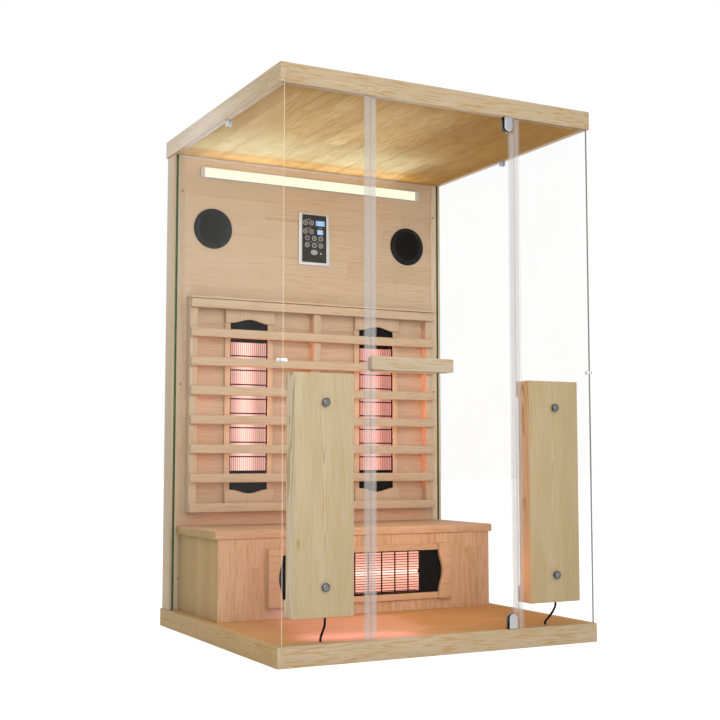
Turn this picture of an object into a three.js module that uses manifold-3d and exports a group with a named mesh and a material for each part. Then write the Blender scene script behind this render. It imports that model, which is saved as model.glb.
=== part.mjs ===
// Infrared sauna cabin for two, with a glass front and a hinged glass door.
// Millimetres, +Z up, front towards -Y. The origin is the middle of the cabin's box, on the floor.
import * as THREE from 'three';
import { mergeVertices } from 'three/addons/utils/BufferGeometryUtils.js';
import Module from 'manifold-3d';

const wasm = await Module();
wasm.setup();

// Overall size of the base and roof
const WIDTH = 1200;
const DEPTH = 1100;
const HEIGHT = 1860;

// Base and roof surrounds
const BASE_HEIGHT = 64;
const ROOF_HEIGHT = 64;
const BOARD_THICKNESS = 22;
const FLOOR_THICKNESS = 18;
const CEILING_THICKNESS = 12;
const ROOF_COVER_THICKNESS = 10;
const ROOF_COVER_RECESS = 4;
const POWER_UNIT_WIDTH = 280;
const POWER_UNIT_DEPTH = 170;
const POWER_UNIT_TOP_GAP = 3;
const POWER_UNIT_REAR_GAP = 60;
const POWER_UNIT_CORNER = 8;

// Rear wall
const POST_WIDTH = 44;
const POST_DEPTH = 76;
const POST_SIDE_INSET = 4;
const REAR_OVERHANG = 10;
const REAR_PANEL_THICKNESS = 8;
const WALL_THICKNESS = 12;
const WALL_RECESS = 4;

// Glass panes and the grooves and profiles that hold them
const GLASS_THICKNESS = 8;
const FRONT_GLASS_INSET = 6;
const FRONT_PANE_SIDE_INSET = 8;
const SIDE_GLASS_INSET = 14;
const GROOVE_DEPTH = 12;
const GROOVE_CLEARANCE = 0.3;
const PROFILE_WIDTH = 19;
const PROFILE_WALL = 1.5;
const PROFILE_WEB = 2;
const PROFILE_GAP = 2;

// Door leaf
const DOOR_WIDTH = 554;
const DOOR_END_GAP = 6;
const HINGE_AXIS_SETBACK = 25;
const HINGE_WIDTH = 32;
const HINGE_HEIGHT = 52;
const HINGE_OUTER_PLATE = 9;
const HINGE_INNER_PLATE = 3;
const HINGE_END_GAP = 2;
const HINGE_CLEARANCE = 0.3;
const HINGE_PIN_RADIUS = 6;
const HINGE_PROFILE_GAP = 1;
const HANDLE_HEIGHT = 43.5;
const HANDLE_THICKNESS = 18;
const HANDLE_CORNER = 6;
const HANDLE_STANDOFF = 2.5;
const HANDLE_FOOT_RADIUS = 8;
const HANDLE_FOOT_INSET = 45;
const HANDLE_CENTRE_HEIGHT = 865;
const HANDLE_REACH = 293;
const OUTER_HANDLE_OVERLAP = 9;
const INNER_HANDLE_SETBACK = 2;

// Bench
const SEAT_DEPTH = 414;
const SEAT_HEIGHT = 312;
const SEAT_THICKNESS = 29;
const SEAT_SIDE_GAP = 6;
const BENCH_OVERHANG = 5;
const BENCH_SIDE_SETBACK = 12;
const BENCH_BOARD = 18;

// Backrest lattice
const SLAT_COUNT = 8;
const SLAT_PITCH = 110.8;
const SLAT_HEIGHT = 33;
const TOP_SLIT = 3.5;
const SLAT_THICKNESS = 20;
const STILE_WIDTH = 32;
const STILE_DEPTH = 38;
const CAP_THICKNESS = 9;
const CAP_OVERHANG = 3;
const BACKREST_SIDE_GAP = 16;
const BACKREST_BOTTOM = 363;

// Heaters, five alike
const HEATER_LENGTH = 752;
const HEATER_WIDTH = 204;
const HEATER_RAIL = 23;
const HEATER_END_RAIL = 36;
const RAIL_THICKNESS = 10;
const END_BOARD_THICKNESS = 12;
const END_BOARD_LENGTH = 53;
const END_BOARD_WAVE = 15;
const WAVE_STEPS = 16;
const MOUNT_GAP = 0.3;
const PAN_DEPTH = 40;
const PAN_RECESS = 4;
const PAN_WALL = 3;
const PAN_CLEARANCE = 0.3;
const WALL_CUT_CLEARANCE = 1;
const GUARD_CELLS = 9;
const GUARD_PITCH = 56;
const GUARD_BAR = 3.5;
const GUARD_MARGIN = 4;
const TUBE_RADIUS = 6;
const TUBE_DEPTH = 16;
const TUBE_END_GAP = 0.3;
const BACK_HEATER_OFFSET = 282;
const BACK_HEATER_CENTRE = 768;
const BENCH_HEATER_CENTRE = 142.5;
const BOX_CENTRE_HEIGHT = 453.5;
const BOX_FACE_BOARD = 16;
const BOX_SIDE_BOARD = 14;
const BOX_BACK_GAP = 4;

// Light bar, speakers and control panel on the wall
const LIGHT_SIDE_GAP = 63;
const LIGHT_HEIGHT = 41;
const LIGHT_DEPTH = 10;
const LIGHT_DROP = 57;
const LIGHT_CAP = 17;
const LIGHT_WALL = 2;
const LIGHT_CLEARANCE = 0.3;
const SPEAKER_RADIUS = 78.5;
const SPEAKER_RIM_WIDTH = 5.5;
const SPEAKER_RIM_HEIGHT = 4.5;
const SPEAKER_EDGE_BREAK = 1.5;
const SPEAKER_FACE_RADIUS = 61;
const SPEAKER_FACE_HEIGHT = 9.5;
const SPEAKER_BASKET_RADIUS = 62;
const SPEAKER_MAGNET_RADIUS = 36;
const SPEAKER_BASKET_DEPTH = 28;
const SPEAKER_DEPTH = 46;
const SPEAKER_SIDE_GAP = 118;
const SPEAKER_RISE = 36.7;
const CONTROL_WIDTH = 137;
const CONTROL_HEIGHT = 212;
const CONTROL_SIDE_BAR = 14;
const CONTROL_TOP_BAR = 6;
const CONTROL_BOTTOM_BAR = 12;
const CONTROL_FRAME_DEPTH = 8;
const CONTROL_RISE = 30.7;
const KEYPAD_THICKNESS = 5;
const KEYPAD_CLEARANCE = 0.3;
const KEY_WIDTH = 30;
const KEY_HEIGHT = 22;
const KEY_ABOVE_FRAME = 41;
const KEY_RISE = 1.5;
const KEY_FLANGE = 1.5;
const KEY_FLANGE_THICKNESS = 1.5;
const KEY_TRAVEL = 1;
const KEY_BACK_GAP = 0.5;
const KEY_CLEARANCE = 0.4;

// Cords from the heater boxes to the floor
const CORD_RADIUS = 3.75;
const CORD_STEPS = 10;
const CORD_END_GAP = 0.3;
const LEFT_CORD_POINTS = [
  [-430, -524, 141.5], [-430, -524, 131], [-428.5, -517, 112],
  [-432.5, -508, 89], [-434.4, -502, 73], [-434.4, -502, 64],
];
const RIGHT_CORD_POINTS = [
  [444, -524, 141.5], [444, -524, 130], [438.5, -516.5, 109],
  [424.5, -508.5, 87], [417.2, -501.5, 74], [417.2, -501.5, 64],
];

// Overlap that makes two joined boards one solid
const JOIN = 1;

// Fineness of round faces
const ROUND_SIDES = 36;
const CURVE_STEPS = 8;
const OVAL_STEPS = 28;
const MERGE_DISTANCE = 1e-4;

// Planes that the pieces share
const halfWidth = WIDTH / 2;
const frontY = -DEPTH / 2;
const rearY = DEPTH / 2;
const floorZ = BASE_HEIGHT;
const ceilingZ = HEIGHT - ROOF_HEIGHT;
const insideHalf = halfWidth - BOARD_THICKNESS;
const insideFrontY = frontY + BOARD_THICKNESS;
const postRearY = rearY - REAR_OVERHANG;
const postFrontY = postRearY - POST_DEPTH;
const postOuterX = halfWidth - POST_SIDE_INSET;
const wallHalf = postOuterX - POST_WIDTH;
const wallY = postFrontY + WALL_RECESS;
const glassOuterY = frontY + FRONT_GLASS_INSET;
const glassInnerY = glassOuterY + GLASS_THICKNESS;
const sideGlassOuterX = halfWidth - SIDE_GLASS_INSET;
const sideGlassInnerX = sideGlassOuterX - GLASS_THICKNESS;
const doorHalf = DOOR_WIDTH / 2;
const fixedEdgeX = doorHalf + 2 * PROFILE_WEB + PROFILE_GAP;
const frontPaneEndX = halfWidth - FRONT_PANE_SIDE_INSET;
const doorBottomZ = floorZ + DOOR_END_GAP;
const doorTopZ = ceilingZ - DOOR_END_GAP;
const hingeX = doorHalf - HINGE_AXIS_SETBACK;
const hingeY = (glassOuterY + glassInnerY) / 2;
const seatFrontY = postFrontY - SEAT_DEPTH;
const seatTopZ = floorZ + SEAT_HEIGHT;
const benchFrontY = seatFrontY + BENCH_OVERHANG;
const seatHalf = sideGlassInnerX - SEAT_SIDE_GAP;
const benchHalf = seatHalf - BENCH_SIDE_SETBACK;
const backrestBottomZ = floorZ + BACKREST_BOTTOM;
const bottomRailZ = backrestBottomZ + SLAT_HEIGHT / 2;
const topRailZ = bottomRailZ + (SLAT_COUNT - 1) * SLAT_PITCH;
const capLowZ = topRailZ + SLAT_HEIGHT / 2 + TOP_SLIT;
const capTopZ = capLowZ + CAP_THICKNESS;
const lightZ = ceilingZ - LIGHT_DROP;
const freeWallZ = (capTopZ + lightZ - LIGHT_HEIGHT / 2) / 2;
const speakerZ = freeWallZ + SPEAKER_RISE;
const controlZ = freeWallZ + CONTROL_RISE;
const panHalfWidth = HEATER_WIDTH / 2 - HEATER_RAIL;
const panHalfLength = HEATER_LENGTH / 2 - HEATER_END_RAIL;
const guardHalfLength = GUARD_CELLS * GUARD_PITCH / 2;
const panFrontY = -(RAIL_THICKNESS - PAN_RECESS);
const panBackY = panFrontY + PAN_DEPTH;
const boxRearY = panBackY + BOX_BACK_GAP + BOX_FACE_BOARD;

const pine = new THREE.MeshStandardMaterial({ color: 0xcdb892, roughness: 0.62, metalness: 0 });
const warmPine = new THREE.MeshStandardMaterial({ color: 0xd0a27a, roughness: 0.6, metalness: 0 });
const ceilingPine = new THREE.MeshStandardMaterial({ color: 0xb89560, roughness: 0.6, metalness: 0 });
const boxPine = new THREE.MeshStandardMaterial({ color: 0xd2c294, roughness: 0.6, metalness: 0 });
const plainPanel = new THREE.MeshStandardMaterial({ color: 0xb9a27c, roughness: 0.75, metalness: 0 });
const glass = new THREE.MeshStandardMaterial({
  color: 0xdfeee6, roughness: 0.03, metalness: 0, transparent: true, opacity: 0.2,
});
const profilePlastic = new THREE.MeshStandardMaterial({
  color: 0xe4e6e8, roughness: 0.25, metalness: 0, transparent: true, opacity: 0.55,
});
const satinMetal = new THREE.MeshStandardMaterial({ color: 0xd4d7da, roughness: 0.25, metalness: 1 });
const blackMetal = new THREE.MeshStandardMaterial({ color: 0x171312, roughness: 0.5, metalness: 0.6 });
const glowingTube = new THREE.MeshStandardMaterial({
  color: 0xff8a66, roughness: 0.3, metalness: 0, emissive: 0xff6a4a,
});
const lightHousing = new THREE.MeshStandardMaterial({ color: 0xc9cacc, roughness: 0.4, metalness: 0.7 });
const litDiffuser = new THREE.MeshStandardMaterial({
  color: 0xfff4d8, roughness: 0.5, metalness: 0, emissive: 0xfff0c8,
});
const speakerBlack = new THREE.MeshStandardMaterial({ color: 0x2f2d2b, roughness: 0.55, metalness: 0 });
const keypadBlack = new THREE.MeshStandardMaterial({ color: 0x302e2c, roughness: 0.35, metalness: 0 });
const keyGrey = new THREE.MeshStandardMaterial({ color: 0x8e8e94, roughness: 0.4, metalness: 0 });
const unitGrey = new THREE.MeshStandardMaterial({ color: 0x8a8d90, roughness: 0.5, metalness: 0.5 });
const cordBlack = new THREE.MeshStandardMaterial({ color: 0x121212, roughness: 0.6, metalness: 0 });

const cabin = new THREE.Group();

// Returns a new group inside the given one, placed at x, y, z.
function groupAt(parent, x = 0, y = 0, z = 0) {
  const group = new THREE.Group();
  group.position.set(x, y, z);
  parent.add(group);
  return group;
}

// Adds one named piece to a group.
function addPiece(parent, name, geometry, material) {
  const mesh = new THREE.Mesh(geometry, material);
  mesh.name = name;
  parent.add(mesh);
  return mesh;
}

// Box from its low corner to its high corner.
function boxBetween(low, high) {
  const size = high.map((value, axis) => value - low[axis]);
  const geometry = new THREE.BoxGeometry(size[0], size[1], size[2]);
  geometry.translate(low[0] + size[0] / 2, low[1] + size[1] / 2, low[2] + size[2] / 2);
  return geometry;
}

// Turns a closed geometry into a solid that can be joined and cut.
function toSolid(geometry) {
  const bare = geometry.clone();
  bare.deleteAttribute('normal');
  bare.deleteAttribute('uv');
  const merged = mergeVertices(bare, MERGE_DISTANCE);
  return new wasm.Manifold(new wasm.Mesh({
    numProp: 3,
    vertProperties: Float32Array.from(merged.attributes.position.array),
    triVerts: Uint32Array.from(merged.index.array),
  }));
}

// Turns a solid back into a geometry.
function toGeometry(solid) {
  const mesh = solid.getMesh();
  const geometry = new THREE.BufferGeometry();
  geometry.setAttribute('position', new THREE.BufferAttribute(mesh.vertProperties, 3));
  geometry.setIndex(new THREE.BufferAttribute(mesh.triVerts, 1));
  geometry.computeVertexNormals();
  return geometry;
}

// Joins the first list of geometries and cuts the second list out of the result.
function joinAndCut(joined, cut = []) {
  let solid = toSolid(joined[0]);
  for (const geometry of joined.slice(1)) {
    solid = solid.add(toSolid(geometry));
  }
  for (const geometry of cut) {
    solid = solid.subtract(toSolid(geometry));
  }
  return toGeometry(solid);
}

// Prism over an outline in the XY plane, from low z to high z.
function uprightPrism(outline, lowZ, highZ) {
  const shape = new THREE.Shape(outline.map(([x, y]) => new THREE.Vector2(x, y)));
  const geometry = new THREE.ExtrudeGeometry(shape, { depth: highZ - lowZ, bevelEnabled: false });
  geometry.translate(0, 0, lowZ);
  return geometry;
}

// Prism over a shape drawn in the XZ plane, from the near (front) y to the far (rear) y.
function frontPrism(shape, nearY, farY, curveSegments = CURVE_STEPS) {
  const options = { depth: farY - nearY, bevelEnabled: false, curveSegments };
  const geometry = new THREE.ExtrudeGeometry(shape, options);
  geometry.rotateX(Math.PI / 2);
  geometry.translate(0, farY, 0);
  return geometry;
}

// Rectangle with rounded corners, centred on x, z.
function roundedRectangle(x, z, width, height, radius) {
  const left = x - width / 2;
  const bottom = z - height / 2;
  const right = left + width;
  const top = bottom + height;
  const shape = new THREE.Shape();
  shape.moveTo(left + radius, bottom);
  shape.lineTo(right - radius, bottom);
  shape.absarc(right - radius, bottom + radius, radius, -Math.PI / 2, 0);
  shape.lineTo(right, top - radius);
  shape.absarc(right - radius, top - radius, radius, 0, Math.PI / 2);
  shape.lineTo(left + radius, top);
  shape.absarc(left + radius, top - radius, radius, Math.PI / 2, Math.PI);
  shape.lineTo(left, bottom + radius);
  shape.absarc(left + radius, bottom + radius, radius, Math.PI, 1.5 * Math.PI);
  return shape;
}

// Ellipse centred on x, z.
function oval(x, z, width, height) {
  const shape = new THREE.Shape();
  shape.absellipse(x, z, width / 2, height / 2, 0, 2 * Math.PI);
  return shape;
}

// Cylinder along Y between two y values.
function roundAlongY(x, z, radius, nearY, farY) {
  const geometry = new THREE.CylinderGeometry(radius, radius, farY - nearY, ROUND_SIDES);
  geometry.translate(x, (nearY + farY) / 2, z);
  return geometry;
}

// Side boards run from front to rear and the front board butts between them.
function buildSurround(parent, prefix, lowZ, highZ) {
  for (const [side, sign] of [['left', -1], ['right', 1]]) {
    const x = [sign * insideHalf, sign * halfWidth].sort((a, b) => a - b);
    const board = boxBetween([x[0], frontY, lowZ], [x[1], rearY, highZ]);
    addPiece(parent, `${prefix}_${side}_board`, board, pine);
  }
  const front = boxBetween([-insideHalf, frontY, lowZ], [insideHalf, insideFrontY, highZ]);
  addPiece(parent, `${prefix}_front_board`, front, pine);
}

function buildBase() {
  const base = groupAt(cabin);
  buildSurround(base, 'base', 0, floorZ);
  const low = [-insideHalf, insideFrontY, floorZ - FLOOR_THICKNESS];
  addPiece(base, 'floor_panel', boxBetween(low, [insideHalf, postRearY, floorZ]), warmPine);
}

function buildRoof() {
  const roof = groupAt(cabin);
  buildSurround(roof, 'roof', ceilingZ, HEIGHT);
  const ceilingTopZ = ceilingZ + CEILING_THICKNESS;
  const ceiling = boxBetween([-insideHalf, insideFrontY, ceilingZ], [insideHalf, postRearY, ceilingTopZ]);
  addPiece(roof, 'ceiling_panel', ceiling, ceilingPine);

  const coverTopZ = HEIGHT - ROOF_COVER_RECESS;
  const coverLowZ = coverTopZ - ROOF_COVER_THICKNESS;
  const cover = boxBetween([-insideHalf, insideFrontY, coverLowZ], [insideHalf, postRearY, coverTopZ]);
  addPiece(roof, 'roof_cover', cover, plainPanel);

  const unitY = postRearY - POWER_UNIT_REAR_GAP - POWER_UNIT_DEPTH / 2;
  const outline = roundedRectangle(0, unitY, POWER_UNIT_WIDTH, POWER_UNIT_DEPTH, POWER_UNIT_CORNER);
  const unitHeight = coverLowZ - POWER_UNIT_TOP_GAP - ceilingTopZ;
  const options = { depth: unitHeight, bevelEnabled: false, curveSegments: CURVE_STEPS };
  const unit = new THREE.ExtrudeGeometry(outline, options);
  unit.translate(0, 0, ceilingTopZ);
  addPiece(roof, 'power_unit', unit, unitGrey);
}

// A post with the groove for the side glass in its front face.
function postOutline(sign) {
  const grooveIn = sideGlassInnerX - GROOVE_CLEARANCE;
  const grooveOut = sideGlassOuterX + GROOVE_CLEARANCE;
  const grooveY = postFrontY + GROOVE_DEPTH + GROOVE_CLEARANCE;
  const outline = [
    [wallHalf, postFrontY], [grooveIn, postFrontY], [grooveIn, grooveY], [grooveOut, grooveY],
    [grooveOut, postFrontY], [postOuterX, postFrontY], [postOuterX, postRearY], [wallHalf, postRearY],
  ];
  return outline.map(([x, y]) => [sign * x, y]);
}

function buildRearWall() {
  const rear = groupAt(cabin);
  addPiece(rear, 'rear_post_left', uprightPrism(postOutline(-1), floorZ, ceilingZ), pine);
  addPiece(rear, 'rear_post_right', uprightPrism(postOutline(1), floorZ, ceilingZ), pine);

  const panelBackY = postRearY + REAR_PANEL_THICKNESS;
  const panel = boxBetween([-insideHalf, postRearY, 0], [insideHalf, panelBackY, HEIGHT]);
  addPiece(rear, 'rear_panel', panel, plainPanel);

  const wallBackY = wallY + WALL_THICKNESS;
  const wall = boxBetween([-wallHalf, wallY, floorZ], [wallHalf, wallBackY, ceilingZ]);
  const cuts = [];
  for (const sign of [-1, 1]) {
    const halfX = panHalfWidth + WALL_CUT_CLEARANCE;
    const halfZ = panHalfLength + WALL_CUT_CLEARANCE;
    const x = sign * BACK_HEATER_OFFSET;
    const z = floorZ + BACK_HEATER_CENTRE;
    const low = [x - halfX, wallY - JOIN, z - halfZ];
    cuts.push(boxBetween(low, [x + halfX, wallBackY + JOIN, z + halfZ]));
    const speakerX = sign * (wallHalf - SPEAKER_SIDE_GAP);
    const holeRadius = SPEAKER_BASKET_RADIUS + WALL_CUT_CLEARANCE;
    cuts.push(roundAlongY(speakerX, speakerZ, holeRadius, wallY - JOIN, wallBackY + JOIN));
  }
  addPiece(rear, 'wall_panel', joinAndCut([wall], cuts), warmPine);
}

function buildFixedGlass() {
  const glazing = groupAt(cabin);
  for (const [side, sign] of [['left', -1], ['right', 1]]) {
    const sideX = [sign * sideGlassInnerX, sign * sideGlassOuterX].sort((a, b) => a - b);
    const sideRearY = postFrontY + GROOVE_DEPTH;
    const sidePane = boxBetween([sideX[0], glassInnerY, floorZ], [sideX[1], sideRearY, ceilingZ]);
    addPiece(glazing, `${side}_side_glass`, sidePane, glass);
    const frontX = [sign * fixedEdgeX, sign * frontPaneEndX].sort((a, b) => a - b);
    const frontPane = boxBetween([frontX[0], glassOuterY, floorZ], [frontX[1], glassInnerY, ceilingZ]);
    addPiece(glazing, `front_${side}_glass`, frontPane, glass);
    const profile = edgeProfile(sign * fixedEdgeX, sign, floorZ, ceilingZ);
    addPiece(glazing, `fixed_profile_${side}`, profile, profilePlastic);
  }
}

// U-shaped edge profile over the edge of a pane that lies on the inward side of edgeX.
function edgeProfile(edgeX, inward, lowZ, highZ) {
  const webX = edgeX - inward * PROFILE_WEB;
  const legX = webX + inward * PROFILE_WIDTH;
  const outline = [
    [webX, glassOuterY - PROFILE_WALL], [legX, glassOuterY - PROFILE_WALL], [legX, glassOuterY],
    [edgeX, glassOuterY], [edgeX, glassInnerY], [legX, glassInnerY],
    [legX, glassInnerY + PROFILE_WALL], [webX, glassInnerY + PROFILE_WALL],
  ];
  return uprightPrism(outline, lowZ, highZ);
}

// Clamp with a rounded inner end, a slot for the glass and a pin at its outer end.
function hingeClamp(endZ, inward) {
  const outerZ = endZ + inward * HINGE_END_GAP;
  const arcZ = endZ + inward * (HINGE_HEIGHT - HINGE_WIDTH / 2);
  const half = HINGE_WIDTH / 2;
  const face = new THREE.Shape();
  face.moveTo(hingeX - half, outerZ);
  face.lineTo(hingeX + half, outerZ);
  face.absarc(hingeX, arcZ, half, 0, inward * Math.PI, inward < 0);
  const nearY = glassOuterY - HINGE_OUTER_PLATE;
  const farY = glassInnerY + HINGE_INNER_PLATE;
  const slotLow = endZ + inward * (DOOR_END_GAP - HINGE_CLEARANCE);
  const slotHigh = endZ + inward * (HINGE_HEIGHT + JOIN);
  const slotZ = [slotLow, slotHigh].sort((a, b) => a - b);
  const slot = boxBetween(
    [hingeX - half - JOIN, glassOuterY - HINGE_CLEARANCE, slotZ[0]],
    [hingeX + half + JOIN, glassInnerY + HINGE_CLEARANCE, slotZ[1]],
  );
  const pinEnds = [endZ + inward * HINGE_CLEARANCE, outerZ + inward * JOIN].sort((a, b) => a - b);
  const pinLength = pinEnds[1] - pinEnds[0];
  const pin = new THREE.CylinderGeometry(HINGE_PIN_RADIUS, HINGE_PIN_RADIUS, pinLength, ROUND_SIDES);
  pin.rotateX(Math.PI / 2);
  pin.translate(hingeX, hingeY, (pinEnds[0] + pinEnds[1]) / 2);
  return joinAndCut([frontPrism(face, nearY, farY, ROUND_SIDES / 2), pin], [slot]);
}

// Wooden bar on two feet that stand on one face of the door glass; side is -1 outside, 1 inside.
function handleBar(leftX, rightX, side) {
  const faceY = side < 0 ? glassOuterY : glassInnerY;
  const footEndY = faceY + side * (HANDLE_STANDOFF + JOIN);
  const barY = [faceY + side * HANDLE_STANDOFF, faceY + side * (HANDLE_STANDOFF + HANDLE_THICKNESS)];
  barY.sort((a, b) => a - b);
  const z = floorZ + HANDLE_CENTRE_HEIGHT;
  const shape = roundedRectangle((leftX + rightX) / 2, z, rightX - leftX, HANDLE_HEIGHT, HANDLE_CORNER);
  const pieces = [frontPrism(shape, barY[0], barY[1])];
  const footY = [faceY, footEndY].sort((a, b) => a - b);
  for (const x of [leftX + HANDLE_FOOT_INSET, rightX - HANDLE_FOOT_INSET]) {
    pieces.push(roundAlongY(x, z, HANDLE_FOOT_RADIUS, footY[0], footY[1]));
  }
  return joinAndCut(pieces);
}

function buildDoor() {
  const door = groupAt(cabin);
  const leaf = boxBetween([-doorHalf, glassOuterY, doorBottomZ], [doorHalf, glassInnerY, doorTopZ]);
  addPiece(door, 'door_glass', leaf, glass);
  addPiece(door, 'door_profile_left', edgeProfile(-doorHalf, 1, doorBottomZ, doorTopZ), profilePlastic);
  const hingeReach = HINGE_HEIGHT + HINGE_PROFILE_GAP;
  const rightProfile = edgeProfile(doorHalf, -1, floorZ + hingeReach, ceilingZ - hingeReach);
  addPiece(door, 'door_profile_right', rightProfile, profilePlastic);
  addPiece(door, 'door_hinge_bottom', hingeClamp(floorZ, 1), satinMetal);
  addPiece(door, 'door_hinge_top', hingeClamp(ceilingZ, -1), satinMetal);
  const handleRightX = -doorHalf + HANDLE_REACH;
  const outerHandle = handleBar(-doorHalf - OUTER_HANDLE_OVERLAP, handleRightX, -1);
  addPiece(door, 'door_handle_outer', outerHandle, boxPine);
  const innerHandle = handleBar(-doorHalf + INNER_HANDLE_SETBACK, handleRightX, 1);
  addPiece(door, 'door_handle_inner', innerHandle, boxPine);
}

function buildBench() {
  const bench = groupAt(cabin);
  const seatLowZ = seatTopZ - SEAT_THICKNESS;
  const seat = boxBetween([-seatHalf, seatFrontY, seatLowZ], [seatHalf, postFrontY, seatTopZ]);
  addPiece(bench, 'bench_seat', seat, warmPine);

  const innerHalf = benchHalf - BENCH_BOARD;
  const innerY = benchFrontY + BENCH_BOARD;
  const outline = [
    [-benchHalf, benchFrontY], [benchHalf, benchFrontY], [benchHalf, postFrontY], [innerHalf, postFrontY],
    [innerHalf, innerY], [-innerHalf, innerY], [-innerHalf, postFrontY], [-benchHalf, postFrontY],
  ];
  const halfX = panHalfLength + WALL_CUT_CLEARANCE;
  const halfZ = panHalfWidth + WALL_CUT_CLEARANCE;
  const z = floorZ + BENCH_HEATER_CENTRE;
  const cut = boxBetween([-halfX, benchFrontY - JOIN, z - halfZ], [halfX, innerY + JOIN, z + halfZ]);
  const box = joinAndCut([uprightPrism(outline, floorZ, seatLowZ)], [cut]);
  addPiece(bench, 'bench_box', box, warmPine);
}

function buildBackrest() {
  const backrest = groupAt(cabin);
  const half = wallHalf - BACKREST_SIDE_GAP;
  const slatRearY = wallY - STILE_DEPTH;
  const slatFrontY = slatRearY - SLAT_THICKNESS;
  const rail = (centreZ, backY) => boxBetween(
    [-half, slatFrontY, centreZ - SLAT_HEIGHT / 2], [half, backY, centreZ + SLAT_HEIGHT / 2]);

  const frame = [];
  frame.push(rail(bottomRailZ, slatRearY + JOIN));
  frame.push(rail(topRailZ, slatRearY + JOIN));
  for (const x of [-half, -STILE_WIDTH / 2, half - STILE_WIDTH]) {
    frame.push(boxBetween([x, slatRearY, backrestBottomZ], [x + STILE_WIDTH, wallY, capLowZ + JOIN]));
  }
  const capLow = [-half - CAP_OVERHANG, slatFrontY, capLowZ];
  frame.push(boxBetween(capLow, [half + CAP_OVERHANG, wallY, capTopZ]));
  addPiece(backrest, 'backrest_frame', joinAndCut(frame), warmPine);

  for (let index = 1; index < SLAT_COUNT - 1; index += 1) {
    const slat = rail(bottomRailZ + index * SLAT_PITCH, slatRearY);
    addPiece(backrest, `backrest_slat_${index}`, slat, warmPine);
  }
}

// Heaters are drawn upright, facing -Y, with the mounting surface at y = 0.

// End board with a wavy inner edge; sign is 1 at the top and -1 at the bottom.
function endBoard(sign) {
  const outerZ = sign * HEATER_LENGTH / 2;
  const innerZ = sign * (HEATER_LENGTH / 2 - END_BOARD_LENGTH);
  const half = HEATER_WIDTH / 2;
  const shape = new THREE.Shape();
  shape.moveTo(-half, outerZ);
  shape.lineTo(-half, innerZ);
  for (let step = 0; step <= WAVE_STEPS; step += 1) {
    const across = -panHalfWidth + 2 * panHalfWidth * step / WAVE_STEPS;
    const rise = END_BOARD_WAVE * (1 + Math.cos(Math.PI * across / panHalfWidth)) / 2;
    shape.lineTo(across, innerZ + sign * rise);
  }
  shape.lineTo(half, innerZ);
  shape.lineTo(half, outerZ);
  return frontPrism(shape, -RAIL_THICKNESS - END_BOARD_THICKNESS, -RAIL_THICKNESS + JOIN);
}

// Room for the reflector pan through a board, from the near y to the far y.
function panOpening(nearY, farY) {
  return boxBetween([-panHalfWidth, nearY, -panHalfLength], [panHalfWidth, farY, panHalfLength]);
}

// Two rails and two end boards around the pan.
function heaterSurround() {
  const half = HEATER_WIDTH / 2;
  const ring = boxBetween(
    [-half, -RAIL_THICKNESS, -HEATER_LENGTH / 2], [half, -MOUNT_GAP, HEATER_LENGTH / 2]);
  const opened = joinAndCut([ring], [panOpening(-RAIL_THICKNESS - JOIN, JOIN)]);
  return joinAndCut([opened, endBoard(1), endBoard(-1)]);
}

// Closed wooden box around the pan, with the face board that meets the front glass.
function heaterBox() {
  const half = HEATER_WIDTH / 2;
  const body = boxBetween(
    [-half, -RAIL_THICKNESS, -HEATER_LENGTH / 2], [half, boxRearY - MOUNT_GAP, HEATER_LENGTH / 2]);
  const innerHalf = half - BOX_SIDE_BOARD;
  const hollow = boxBetween(
    [-innerHalf, 0, -panHalfLength - BOX_SIDE_BOARD / 2],
    [innerHalf, boxRearY - BOX_FACE_BOARD, panHalfLength + BOX_SIDE_BOARD / 2],
  );
  const opened = joinAndCut([body], [hollow, panOpening(-RAIL_THICKNESS - JOIN, JOIN)]);
  return joinAndCut([opened, endBoard(1), endBoard(-1)]);
}

// Black tray behind a face with one window between each pair of cross bars.
function reflectorPan() {
  const halfX = panHalfWidth - PAN_CLEARANCE;
  const halfZ = panHalfLength - PAN_CLEARANCE;
  const body = boxBetween([-halfX, panFrontY, -halfZ], [halfX, panBackY, halfZ]);
  const cavityX = halfX - PAN_WALL;
  const cuts = [boxBetween(
    [-cavityX, panFrontY + PAN_WALL, -guardHalfLength], [cavityX, panBackY - PAN_WALL, guardHalfLength])];
  for (let cell = 0; cell < GUARD_CELLS; cell += 1) {
    const lowZ = -guardHalfLength + cell * GUARD_PITCH + GUARD_BAR / 2;
    const highZ = lowZ + GUARD_PITCH - GUARD_BAR;
    const windowX = halfX - GUARD_MARGIN;
    const windowBackY = panFrontY + PAN_WALL + JOIN;
    cuts.push(boxBetween([-windowX, panFrontY - JOIN, lowZ], [windowX, windowBackY, highZ]));
  }
  return joinAndCut([body], cuts);
}

function heaterTube() {
  const length = 2 * (guardHalfLength - TUBE_END_GAP);
  const tube = new THREE.CylinderGeometry(TUBE_RADIUS, TUBE_RADIUS, length, ROUND_SIDES);
  tube.rotateX(Math.PI / 2);
  tube.translate(0, panFrontY + TUBE_DEPTH, 0);
  return tube;
}

// One heater in its group: surround or box, pan and tube.
function addHeater(group, name, body, material) {
  addPiece(group, `${name}_frame`, body, material);
  addPiece(group, `${name}_pan`, reflectorPan(), blackMetal);
  addPiece(group, `${name}_tube`, heaterTube(), glowingTube);
}

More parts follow.
